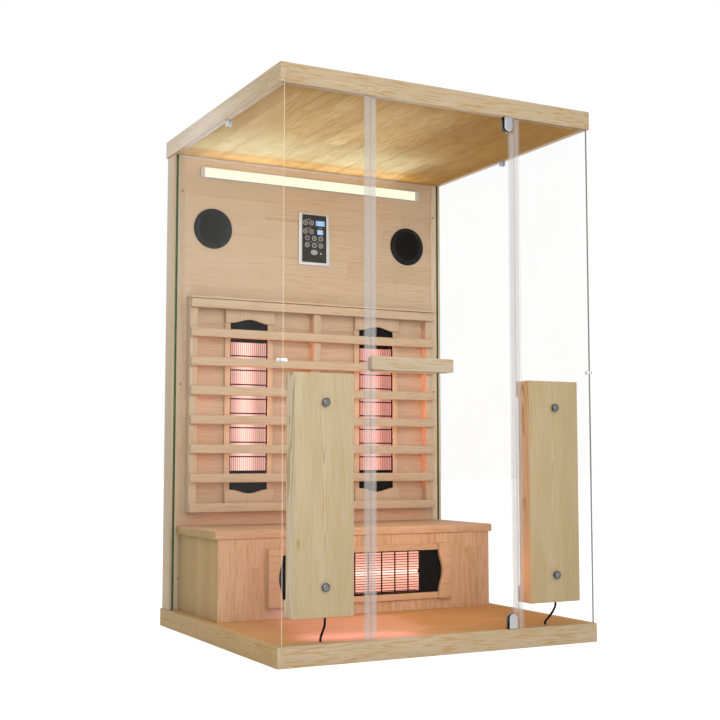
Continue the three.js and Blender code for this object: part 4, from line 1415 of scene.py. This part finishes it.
@dataclass
class Glazing:
    """Fixed panes, their edge profiles, corner connectors and ceiling clips."""

    connector_height: float = 928.0
    connector_bar: float = 9.0
    connector_plate: float = 3.5
    connector_stand: Pair = (4.0, 5.0)
    connector_rounding: float = 0.9
    disc_radius: float = 6.5
    disc_reach: float = 14.0
    disc_rise: float = 1.0
    disc_rim: float = 2.0
    disc_hollow: float = 0.8
    disc_sides: int = 28
    clip_length: float = 20.0
    clip_drop: float = 22.0
    clip_plate: float = 4.0
    clip_rounding: float = 1.2
    clip_screw_drop: float = 14.0
    clip_screw_radius: float = 4.0
    clip_screw_share: float = 0.4
    clip_screw_sides: int = 20
    clip_screw_rounding: float = 0.4
    clip_places: tuple[tuple[str, float], ...] = (("left", -63.0), ("right", -25.0))

    def add_connector(self) -> Piece:
        """Models the connector that holds the two panes of the left front corner.

        Returns:
            The connector.
        """
        front = corners("front_left_glass")[0]
        side = corners("left_side_glass")[0]
        z, half, plate = self.connector_height, self.connector_bar / 2.0, self.connector_plate
        x, y = front.x - self.connector_stand[0], front.y - self.connector_stand[1]
        front_x, side_y = front.x + self.disc_reach, front.y + self.disc_reach
        disc = (self.disc_radius, self.disc_sides)
        parts = [
            add_block("front_bar", (x, y, z - half), (front_x, y + plate, z + half)),
            add_block("side_bar", (x, y, z - half), (x + plate, side_y, z + half)),
            add_rod("front_disc", (front_x, front.y, z), (front_x, y - self.disc_rise, z), *disc),
            add_rod("side_disc", (side.x, side_y, z), (x - self.disc_rise, side_y, z), *disc),
        ]
        shape_faces(parts[2], faces_front, inset(self.disc_rim), to_rear(self.disc_hollow))
        for part in parts:
            soften(part, self.connector_rounding)
        return dress(join("corner_connector_left", parts), material_of(STEEL))

    def add_clip(self, name: str, y: float) -> Piece:
        """Models a clip on the top edge of the left side pane.

        Args:
            name: Name of the clip.
            y: Place of its middle along the pane.

        Returns:
            The clip.
        """
        low, high = corners("left_side_glass")
        half, top = self.clip_length / 2.0, high.z
        screw_z = top - self.clip_screw_drop
        parts = []
        for inner, outer in ((low.x, low.x - self.clip_plate), (high.x, high.x + self.clip_plate)):
            x = sorted((inner, outer))
            cheek = add_block("cheek", (x[0], y - half, top - self.clip_drop), (x[1], y + half, top))
            start, end = sorted((outer, outer + (outer - inner) * self.clip_screw_share))
            screw = add_rod("clip_screw", (start, y, screw_z), (end, y, screw_z),
                            self.clip_screw_radius, self.clip_screw_sides)
            parts += [soften(cheek, self.clip_rounding), soften(screw, self.clip_screw_rounding)]
        return dress(join(name, parts), material_of(LIGHT_METAL))

    def build(self) -> None:
        """Dresses the panes and adds the small metal pieces."""
        for side in SIDES:
            dress_node(f"{side}_side_glass", material_of(SIDE_GLASS))
            dress_node(f"fixed_profile_{side}", material_of(SEAL))
        dress_node("front_left_glass", material_of(FRONT_LEFT_GLASS))
        dress_node("front_right_glass", material_of(FRONT_RIGHT_GLASS))
        connector = settle(self.add_connector())
        settle(copy_mirrored(connector, "corner_connector_right"))
        (left, left_y), (right, right_y) = self.clip_places
        settle(self.add_clip(f"ceiling_clip_{left}", left_y))
        pattern = self.add_clip("clip_pattern", right_y)
        settle(copy_mirrored(pattern, f"ceiling_clip_{right}"))
        bpy.data.objects.remove(pattern)


@dataclass
class Door:
    """Glass leaf with edge profiles, hinge clamps and wooden handles."""

    handle_rounding: float = 3.0
    hinge_rounding: float = 1.2

    def build(self) -> None:
        """Dresses the leaf, and rounds the handles and hinge clamps."""
        dress_node("door_glass", material_of(DOOR_GLASS))
        for side in SIDES:
            dress_node(f"door_profile_{side}", material_of(SEAL))
        for place in ("outer", "inner"):
            ease(f"door_handle_{place}", HANDLE_WOOD, self.handle_rounding, DOOR)
        for end in ("bottom", "top"):
            hinge = ease(f"door_hinge_{end}", HINGE_STEEL, self.hinge_rounding, DOOR)
            # The rims of the clamps get black rubber all round, which paints shade on the steel plates'
            # sides.
            dress_faces(hinge, material_of(BLACK_RUBBER), faces_edgewise)


@dataclass
class Bench:
    """Seat board on a box of glued strips."""

    seat_rounding: float = 2.5
    box_rounding: float = 1.0

    def build(self) -> None:
        """Rounds the seat and the box; the ends of both get a darker wood as painted shade, the box's
        ends with their own strips.
        """
        seat = ease("bench_seat", SEAT_WOOD, self.seat_rounding)
        dress_faces(seat, cut_for(SEAT_END_PAINTED_SHADE, "bench_seat"), faces_sideways)
        box = ease("bench_box", BENCH_FRONT_WOOD, self.box_rounding)
        dress_faces(box, cut_for(BENCH_SIDE_PAINTED_SHADE, "bench_box"), faces_sideways)


@dataclass
class Backrest:
    """Lattice of slats on three stiles, with a cap board."""

    slats: int = 6
    rounding: float = 2.0
    slat_height: float = 33.0
    slat_thickness: float = 20.0
    stile_width: float = 32.0
    cap_thickness: float = 9.0
    cap_slit: float = 2.2
    cap_overhang: float = 3.0

    def rail(self, name: str, low: Vector, high: Vector, bottom: float) -> Piece:
        """Models one long rail of the frame.

        Args:
            name: Name of the rail.
            low: Lowest corner of the frame, in millimetres.
            high: Highest corner of the frame, in millimetres.
            bottom: Height of the rail's underside.

        Returns:
            The rail.
        """
        ends = low.x + self.cap_overhang, high.x - self.cap_overhang
        rear = low.y + self.slat_thickness
        rail = add_block(name, (ends[0], low.y, bottom), (ends[1], rear, bottom + self.slat_height))
        return self.rounded(rail, SLAT_WOOD)

    def rounded(self, part: Piece, wood: Pine) -> Piece:
        """Rounds one part of the frame and cuts it from a wood.

        Args:
            part: Block to finish.
            wood: Its wood.

        Returns:
            The same part.
        """
        box = [Vector(corner) for corner in part.bound_box]
        centre = sum(box, Vector()) / len(box)
        return dress(soften(part, self.rounding), wood.cut(part.name, centre))

    def build(self) -> None:
        """Builds the frame from its rails, stiles and cap, and rounds the slats."""
        low, high = corners("backrest_frame")
        cap_low = high.z - self.cap_thickness
        parts = [
            self.rail("backrest_bottom_rail", low, high, low.z),
            self.rail("backrest_top_rail", low, high, cap_low - self.cap_slit - self.slat_height),
        ]
        cap = add_block("backrest_cap", (low.x, low.y, cap_low), tuple(high))
        parts.append(self.rounded(cap, SLAT_WOOD))
        half, stile = high.x - self.cap_overhang, self.stile_width
        for index, start in enumerate((-half, -stile / 2.0, half - stile), 1):
            corner = (start, low.y + self.slat_thickness, low.z)
            block = add_block(f"backrest_stile_{index}", corner, (start + stile, high.y, cap_low))
            parts.append(self.rounded(block, STILE_WOOD))
        settle(join("backrest_lattice", parts), CABIN, ("backrest_frame",))
        for number in range(1, self.slats + 1):
            name = f"backrest_slat_{number}"
            slat = ease(name, SLAT_WOOD, self.rounding)
            # The slats' undersides get painted heater glow.
            dress_faces(slat, cut_for(SLAT_UNDER_PAINTED_GLOW, name), faces_down)


class Mounting(Enum):
    """Ways in which a heater is mounted: its length axis and the way that it faces."""

    UPRIGHT = (Axis.HEIGHT, -1.0)
    LYING = (Axis.WIDTH, -1.0)
    BOXED = (Axis.HEIGHT, 1.0)


@dataclass
class HeaterGlow:
    """Light that a heater throws on the wood beside it or into the cabin; sizes in metres."""

    name: str
    mounting: Mounting
    colour: Colour = (1.0, 0.40, 0.20)
    side_colour: Colour = (1.0, 0.45, 0.25)
    side_power: float = 0.28
    side_size: Pair = (0.012, 0.5)
    front_power: float = 0.3
    front_size: Pair = (0.13, 0.5)
    front_gap: float = 0.003
    stile_colour: Colour = (1.0, 0.08, 0.02)
    stile_power: float = 0.045
    stile_size: Pair = (0.015, 0.62)
    stile_gap: float = 0.001
    stile_spread: float = 40.0
    box_power: float = 0.35
    box_size: Pair = (0.15, 0.5)
    box_gap: float = 0.01
    foot_power: float = 0.012
    foot_size: Pair = (0.03, 0.12)
    foot_gap: float = 0.05
    foot_height: float = 0.11
    bench_power: float = 0.15
    bench_size: Pair = (0.5, 0.15)
    bench_gap: float = 0.006

    def add(
        self, part: str, place: Point, way: Point, size: Pair, power: float, colour: Colour,
        spread: float = 180.0
    ) -> None:
        """Adds one lamp.

        Args:
            part: Name of the lamp within the heater.
            place: Middle of the lamp.
            way: Direction that it shines in.
            size: Width and height of the lamp.
            power: Power, in watts.
            colour: Colour of the light.
            spread: Angle of the beam, in degrees.
        """
        towards = Lamp.ahead(place, way)
        Lamp(f"{self.name}_{part}", place, towards, size, power, colour, spread=spread).build()

    def light_box(self) -> None:
        """Lights the cabin from a heater box, and the foot of its inner side."""
        low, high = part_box(f"{self.name}_frame")
        x, _, z = middle(f"{self.name}_pan")
        edge, turn = (low.x, 1.0) if x > 0.0 else (high.x, -1.0)
        foot = (edge - turn * self.foot_gap, (low.y + high.y) / 2.0, low.z + self.foot_height)
        self.add("foot_glow", foot, (turn, 0.0, 0.0), self.foot_size, self.foot_power, self.side_colour)
        place = (x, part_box(f"{self.name}_pan")[1].y + self.box_gap, z)
        self.add("glow", place, (0.0, 1.0, 0.0), self.box_size, self.box_power, self.colour)

    def light_bench(self) -> None:
        """Lights the floor in front of the bench heater."""
        x, _, z = middle(f"{self.name}_pan")
        place = (x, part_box(f"{self.name}_pan")[0].y - self.bench_gap, z)
        self.add("glow", place, (0.0, -1.0, 0.0), self.bench_size, self.bench_power, self.colour)

    def light_backrest(self) -> None:
        """Lights the slats and the stiles round an upright heater."""
        low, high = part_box(f"{self.name}_frame")
        x, _, z = middle(f"{self.name}_pan")
        front = (x, low.y - self.front_gap, z)
        for side, turn, edge in (("left", -1.0, low.x), ("right", 1.0, high.x)):
            way = (turn, 0.0, 0.0)
            self.add(f"glow_{side}", front, way, self.side_size, self.side_power, self.side_colour)
            start = (edge + turn * self.stile_gap, (low.y + high.y) / 2.0, z)
            self.add(f"stile_{side}", start, way, self.stile_size, self.stile_power, self.stile_colour,
                     self.stile_spread)
        self.add("glow_front", front, (0.0, -1.0, 0.0), self.front_size, self.front_power,
                 self.side_colour)

    def build(self) -> None:
        """Adds the lamps that belong to the heater's mounting."""
        if self.mounting is Mounting.BOXED:
            self.light_box()
        elif self.mounting is Mounting.LYING:
            self.light_bench()
        else:
            self.light_backrest()


@dataclass
class Heater:
    """Wooden surround or box, black tray with guard wires, and a hot tube."""

    name: str
    mounting: Mounting
    wood: Pine
    slot: str
    rounding: float = 1.0
    heat: float = 1.2
    # Emitted colours that paint the tube's light on the tray, at its rim and at its core.
    tray_rim: Colour = (0.59, 0.24, 0.19)
    tray_hot: Colour = (1.3, 0.60, 0.475)
    tube_rim: Colour = (1.4, 0.53, 0.43)
    tube_hot: Colour = (1.5, 0.62, 0.50)
    guard: Moulded = GUARD_BLACK
    wires: int = 17
    wire_pitch: float = 8.4
    wire_radius: float = 0.7
    wire_depth: float = 4.4
    wire_half_length: float = 252.5
    wire_sides: int = 8
    bars: int = 10
    bar_pitch: float = 56.0
    bar_radius: float = 2.6
    bar_depth: float = 2.6
    bar_gap: float = 1.0
    bar_sides: int = 12
    tray_half_length: float = 252.0
    tray_half_width: float = 75.6
    tray_half_depth: float = 17.2
    glow_half_length: float = 251.7
    glow_half_width: float = 75.9
    glow_start: float = -13.8
    tube_ends: float = 9.0
    upright_tube_ends: float = 3.0

    def point(self, centre: Vector, along: float, across: float, depth: float) -> Point:
        """Places a point of the guard.

        Args:
            centre: Middle of the tray, in millimetres.
            along: Distance along the tube.
            across: Distance across it.
            depth: Place in depth.

        Returns:
            The point, in millimetres.
        """
        x, z = (along, across) if self.mounting is Mounting.LYING else (across, along)
        return (centre.x + x, depth, centre.z + z)

    def add_guard(self) -> Piece:
        """Models the guard: a row of wires behind round cross bars.

        Returns:
            The guard.
        """
        low, high = corners(f"{self.name}_pan")
        centre = (low + high) / 2.0
        facing = self.mounting.value[1]
        face = high.y if facing > 0.0 else low.y
        depth = face - facing * self.wire_depth
        first = -(self.wires - 1) / 2.0 * self.wire_pitch
        reach = self.wire_half_length
        ends = [self.point(centre, end, first, depth) for end in (-reach, reach)]
        wire = add_rod("wire", *ends, self.wire_radius, self.wire_sides)
        step = self.point(Vector(), 0.0, self.wire_pitch, 0.0)
        parts = [dress(repeat(wire, self.wires, step), material_of(self.guard))]
        depth = face - facing * self.bar_depth
        first = -(self.bars - 1) / 2.0 * self.bar_pitch
        reach = self.tray_half_width - self.bar_gap
        ends = [self.point(centre, first, end, depth) for end in (-reach, reach)]
        bar = add_rod("bar", *ends, self.bar_radius, self.bar_sides)
        step = self.point(Vector(), self.bar_pitch, 0.0, 0.0)
        parts.append(dress(repeat(bar, self.bars, step), material_of(GUARD_BLACK)))
        guard = join(f"{self.name}_guard", parts)
        activate(guard)
        bpy.ops.object.shade_smooth_by_angle(angle=ROD_SMOOTH_ANGLE)
        return guard

    def dress_box(self, box: Piece) -> None:
        """Gives the sides of a heater box a paler wood as painted light, and the inner side an orange
        wood as painted heater glow.

        Args:
            box: Rounded box, already dressed.
        """
        centre = middle(f"{self.name}_frame")
        inward = -math.copysign(1.0, centre.x)
        dress_faces(box, BOX_SIDE_PAINTED_LIGHT.cut(self.name, centre), faces_sideways)
        dress_faces(box, BOX_INNER_PAINTED_GLOW.cut(self.name, centre),
                    lambda normal, _: normal.x * inward > NEARLY_SQUARE)

    def dress_metal(self) -> None:
        """Lets the tube glow between the ends of the hot zone, and paints the tube's light on the tray
        as glow.
        """
        along, facing = self.mounting.value
        across = Axis.HEIGHT if along is Axis.WIDTH else Axis.WIDTH
        depth = self.tray_half_depth * MM
        tray = EnamelGlowAndPaintedGlow("hot_tray", across, along, self.glow_half_width * MM,
                            self.glow_half_length * MM, depth, facing, self.glow_start * MM, self.heat,
                            self.tray_rim, self.tray_hot)
        upright = self.mounting is Mounting.UPRIGHT
        shorter = self.upright_tube_ends if upright else self.tube_ends
        tube = replace(tray, name="hot_tube", half_along=(self.tray_half_length - shorter) * MM,
                       nearest=-depth, rim=self.tube_rim, hot=self.tube_hot)
        for part, finish in (("pan", tray), ("tube", tube)):
            dress_node(f"{self.name}_{part}", finish.cut(self.name, middle(f"{self.name}_pan")))

    def build(self) -> None:
        """Rounds the surround, dresses tray and tube, and adds the guard and the glow."""
        surround = ease(f"{self.name}_frame", self.wood, self.rounding)
        if self.mounting is Mounting.BOXED:
            self.dress_box(surround)
        self.dress_metal()
        settle(self.add_guard())
        HeaterGlow(self.name, self.mounting).build()


@dataclass
class GlassBolts:
    """Round bolt heads that hold the heater boxes to the front glass."""

    x: float = 437.5
    heights: Pair = (802.0, 234.0)
    radius: float = 13.0
    rise: float = 6.0
    sides: int = 40
    shoulder: Pair = (2.4, 0.6)
    groove: Pair = (1.0, 1.0)
    crown: Pair = (1.2, 0.8)
    rounding: float = 0.7
    rim: float = 2.6
    face_turn: float = 0.8

    def on_face(self, normal: Vector, at: Vector) -> bool:
        """Says whether a face belongs to the lighter face of the upper left head, inside the rim of
        painted shade.
        """
        away = math.hypot(at.x + self.x * MM, at.z - self.heights[0] * MM)
        return normal.y < -self.face_turn and away < (self.radius - self.rim) * MM

    def build(self) -> None:
        """Models one head and copies it to its four places."""
        face = corners("front_left_glass")[0].y
        upper, lower = self.heights
        start, end = (-self.x, face, upper), (-self.x, face - self.rise, upper)
        bolt = add_rod("glass_bolt_left_upper", start, end, self.radius, self.sides)
        width, depth = self.groove
        shape_faces(bolt, faces_front, inset(*self.shoulder), inset(width), to_rear(depth),
                    inset(*self.crown))
        # The rim gets painted shade, the face inside it the lighter steel.
        dress(soften(bolt, self.rounding), material_of(BOLT_RIM_PAINTED_SHADE))
        dress_faces(bolt, material_of(BOLT_STEEL), self.on_face)
        low = copy_moved(bolt, "glass_bolt_left_lower", (0.0, 0.0, lower - upper))
        bolts = [bolt, low]
        bolts += [copy_mirrored(one, one.name.replace("left", "right")) for one in bolts]
        for one in bolts:
            settle(one)


@dataclass
class LightBar:
    """Lit bar under the ceiling with its metal housing."""

    rounding: float = 0.8
    power: float = 0.6
    colour: Colour = (1.0, 0.93, 0.68)
    halo_place: Point = (-0.1, 0.41, 1.74)
    halo_size: Pair = (0.95, 0.05)
    halo_power: float = 0.2
    gap: float = 0.002
    halo_colour: Colour = (1.0, 0.75, 0.42)

    def build(self) -> None:
        """Rounds the housing and the diffuser, and adds the light that they give."""
        ease("light_housing", LIGHT_METAL, self.rounding)
        ease("light_diffuser", DIFFUSER, self.rounding)
        low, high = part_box("light_diffuser")
        size = (high.x - low.x, high.z - low.z)
        place = ((low.x + high.x) / 2.0, low.y - self.gap, (low.z + high.z) / 2.0)
        front = Lamp.ahead(place, (0.0, -1.0, 0.0))
        Lamp("bar_light", place, front, size, self.power, self.colour).build()
        above = Lamp.ahead(self.halo_place, (0.0, 0.0, 1.0))
        Lamp("bar_halo", self.halo_place, above, self.halo_size, self.halo_power,
             self.halo_colour).build()


@dataclass
class Speakers:
    """Two round speakers with a low rim and a raised flat face."""

    radius: float = 78.5
    rim_height: float = 4.5
    sides: int = 96
    rim_width: float = 5.5
    slope: Pair = (10.5, 4.25)
    crown: Pair = (3.0, 0.75)
    rounding: float = 0.7
    face_turn: float = 0.985
    basket_radius: float = 62.0
    basket_depth: float = 12.0
    cone_depth: float = 16.0
    magnet_radius: float = 36.0

    def build(self) -> None:
        """Models the left speaker from a short cylinder and mirrors it."""
        low, high = corners("speaker_left")
        centre = (low + high) / 2.0
        wall = corners("wall_panel")[0].y
        magnet_depth = high.y - wall - self.basket_depth - self.cone_depth
        start, end = (centre.x, wall, centre.z), (centre.x, wall - self.rim_height, centre.z)
        speaker = add_rod("speaker_left_round", start, end, self.radius, self.sides)
        shape_faces(speaker, faces_front, inset(self.rim_width), inset(*self.slope), inset(*self.crown))
        shape_faces(
            speaker, faces_rear, inset(self.radius - self.basket_radius), to_rear(self.basket_depth),
            inset(self.basket_radius - self.magnet_radius, self.cone_depth), to_rear(magnet_depth))
        dress(soften(speaker, self.rounding), material_of(SPEAKER_RING))
        dress_faces(speaker, material_of(SPEAKER_FACE), lambda normal, _: normal.y < -self.face_turn)
        twin = copy_mirrored(speaker, "speaker_right_round")
        settle(speaker, CABIN, ("speaker_left",))
        settle(twin, CABIN, ("speaker_right",))


SEGMENTS = {"0": "abcdef", "3": "abcdg", "5": "acdfg"}


@dataclass
class ControlPanel:
    """Metal frame, dark keypad with ringed keys, two displays and the power key."""

    frame_rounding: float = 1.5
    key_rounding: float = 0.6
    seat: float = 0.3
    ring_radius: float = 10.0
    ring_line: float = 2.0
    ring_rise: float = 0.5
    ring_hollow: float = 0.7
    ring_sides: int = 32
    ring_rounding: float = 0.15
    foil_radius: float = 4.68
    pair_x: tuple[float, ...] = (-39.5, -12.5)
    pair_z: tuple[float, ...] = (1580.5, 1545.0)
    row_x: tuple[float, ...] = (-31.0, 0.0, 29.4)
    row_z: tuple[float, ...] = (1518.6, 1490.0)
    mark_rise: float = 0.5
    mark_rounding: float = 0.2
    dot: Pair = (4.6, 4.6)
    dash: Pair = (7.0, 1.6)
    stroke: Pair = (1.6, 7.0)
    tick: Pair = (18.0, 1.6)
    tick_rise: float = 14.5
    lines: tuple[tuple[float, float, float, float], ...] = (
        (29.5, 1457.6, 6.0, 6.0), (26.5, 1563.0, 14.0, 1.6), (-15.0, 1504.0, 8.0, 1.6),
        (15.0, 1504.0, 8.0, 1.6))
    window_rise: float = 0.4
    window_rim: float = 1.0
    window_hollow: float = 0.2
    window_rounding: float = 0.15
    displays: tuple[tuple[str, Pair, Pair, str], ...] = (
        ("upper_display", (26.7, 1581.0), (40.0, 21.0), "55"),
        ("lower_display", (26.3, 1545.0), (26.0, 20.0), "30"))
    digit_size: Pair = (6.0, 12.0)
    digit_pitch: float = 11.0
    digit_line: float = 1.5

    def face(self) -> float:
        """Returns the depth of the keypad's front, in millimetres."""
        return corners("control_keypad")[0].y

    def add_plate(self, name: str, place: Pair, size: Pair, rise: float) -> Piece:
        """Models one small plate on the keypad.

        Args:
            name: Name of the plate.
            place: Place of its middle across the panel and its height.
            size: Width and height of the plate.
            rise: How far it stands proud of the keypad.

        Returns:
            The plate.
        """
        (x, z), (width, height), y = place, size, self.face()
        low = (x - width / 2.0, y - rise, z - height / 2.0)
        return add_block(name, low, (x + width / 2.0, y + self.seat, z + height / 2.0))

    def add_mark(self, place: Pair, size: Pair) -> Piece:
        """Models one raised mark or one part of a number, and returns it."""
        return soften(self.add_plate("mark", place, size, self.mark_rise), self.mark_rounding, 1)

    def add_ring(self) -> Piece:
        """Models one ringed key at the middle of the width.

        Returns:
            The key, at height zero.
        """
        y = self.face()
        start, end = (0.0, y + self.seat, 0.0), (0.0, y - self.ring_rise, 0.0)
        ring = add_rod("key_ring", start, end, self.ring_radius, self.ring_sides)
        shape_faces(ring, faces_front, inset(self.ring_line), to_rear(self.ring_rise * self.ring_hollow))
        dress(soften(ring, self.ring_rounding, 1), material_of(MARK_GREY))
        dress_faces(ring, material_of(KEYPAD_FOIL), lambda normal, at: faces_front(normal, at)
                    and math.hypot(at.x, at.z) < self.foil_radius * MM)
        return ring

    def add_keys(self) -> None:
        """Places the ringed keys, the small marks in them and the ticks above the pairs."""
        pattern = self.add_ring()
        places = [(x, z) for z in self.pair_z for x in self.pair_x]
        places += [(x, z) for z in self.row_z for x in self.row_x]
        rings = [copy_moved(pattern, f"ring_{n}", (x, 0.0, z)) for n, (x, z) in enumerate(places)]
        bpy.data.objects.remove(pattern)
        settle(join("keypad_rings", rings))
        marks = []
        for number, place in enumerate(places):
            paired = place[1] in self.pair_z
            marks.append(self.add_mark(place, self.dot if paired else self.dash))
            if number % 2 and not paired:
                marks.append(self.add_mark(place, self.stroke))
        for z in self.pair_z:
            marks.append(self.add_mark((sum(self.pair_x) / 2.0, z + self.tick_rise), self.tick))
        for x, z, width, height in self.lines:
            marks.append(self.add_mark((x, z), (width, height)))
        settle(dress(join("keypad_marks", marks), material_of(MARK_GREY)))

    def add_digit(self, digit: str, x: float, z: float) -> list[Piece]:
        """Models one number from straight segments.

        Args:
            digit: Number to show.
            x: Place of its middle across the panel.
            z: Height of its middle.

        Returns:
            The lit segments.
        """
        width, height = self.digit_size
        side, half = width / 2.0, height / 2.0
        level, upright = (width, self.digit_line), (self.digit_line, half)
        places = {
            "a": (0.0, half, level), "g": (0.0, 0.0, level), "d": (0.0, -half, level),
            "b": (side, half / 2.0, upright), "c": (side, -half / 2.0, upright),
            "f": (-side, half / 2.0, upright), "e": (-side, -half / 2.0, upright),
        }
        lit = [places[letter] for letter in SEGMENTS[digit]]
        return [self.add_mark((x + right, z + up), size) for right, up, size in lit]

    def add_display(self, name: str, place: Pair, size: Pair, number: str) -> None:
        """Adds one lit display with a number on it.

        Args:
            name: Name of the display.
            place: Place of its middle across the panel and its height.
            size: Width and height of the window.
            number: Number that it shows.
        """
        window = self.add_plate(name, place, size, self.window_rise)
        shape_faces(window, faces_front, inset(self.window_rim), to_rear(self.window_hollow))
        dress(soften(window, self.window_rounding, 1), material_of(DISPLAY_GLOW))
        settle(window)
        segments: list[Piece] = []
        for index, digit in enumerate(number):
            x = place[0] + (index - (len(number) - 1) / 2.0) * self.digit_pitch
            segments += self.add_digit(digit, x, place[1])
        settle(dress(join(f"{name}_number", segments), material_of(DIGIT_GLOW)))

    def build(self) -> None:
        """Rounds the frame and the keypad, and adds keys and displays."""
        ease("control_frame", FRAME_METAL, self.frame_rounding)
        ease("control_keypad", KEYPAD_FOIL, self.key_rounding)
        ease("power_key", KEY_GREY, self.key_rounding, KEY)
        self.add_keys()
        for display in self.displays:
            self.add_display(*display)


def main() -> None:
    """Builds the camera, the cords, the studio and the sub-assemblies in order."""
    logging.basicConfig(level=logging.INFO, format="%(message)s")
    studio = Studio()
    studio.add_camera()
    for cord in (LEFT_CORD, RIGHT_CORD):
        cord.build()
    studio.build()
    for assembly in (Surround(), RearWall(), Glazing(), Door(), Bench(), Backrest()):
        assembly.build()
    for side in SIDES:
        back_heater = Heater(f"back_heater_{side}", Mounting.UPRIGHT, STILE_WOOD, "inner_pine")
        if side == "left":
            # The left heater's tray gets a stronger painted glow.
            back_heater = replace(back_heater, heat=1.3, tray_rim=(0.626, 0.317, 0.26),
                                  tray_hot=(1.3, 0.68, 0.575))
        back_heater.build()
        box_wood = BOX_WOOD if side == "left" else BOX_RIGHT_WOOD
        Heater(f"front_heater_{side}", Mounting.BOXED, box_wood, "box_pine").build()
    # The bench heater's tray and guard wires get painted glow of its tube.
    Heater("bench_heater", Mounting.LYING, BENCH_RAIL_WOOD, "inner_pine", heat=1.35,
           tray_rim=(0.84, 0.37, 0.27), tray_hot=(1.2, 0.58, 0.44), tube_rim=(1.5, 0.80, 0.68),
           tube_hot=(1.5, 0.86, 0.74), guard=GUARD_PAINTED_GLOW, wires=15, wire_pitch=9.4, wire_radius=1.6,
           wire_half_length=241.0, glow_half_length=252.3, glow_half_width=72.5,
           glow_start=0.0).build()
    for assembly in (GlassBolts(), LightBar(), Speakers(), ControlPanel()):
        assembly.build()
    deselect()


if __name__ == "__main__":
    main()
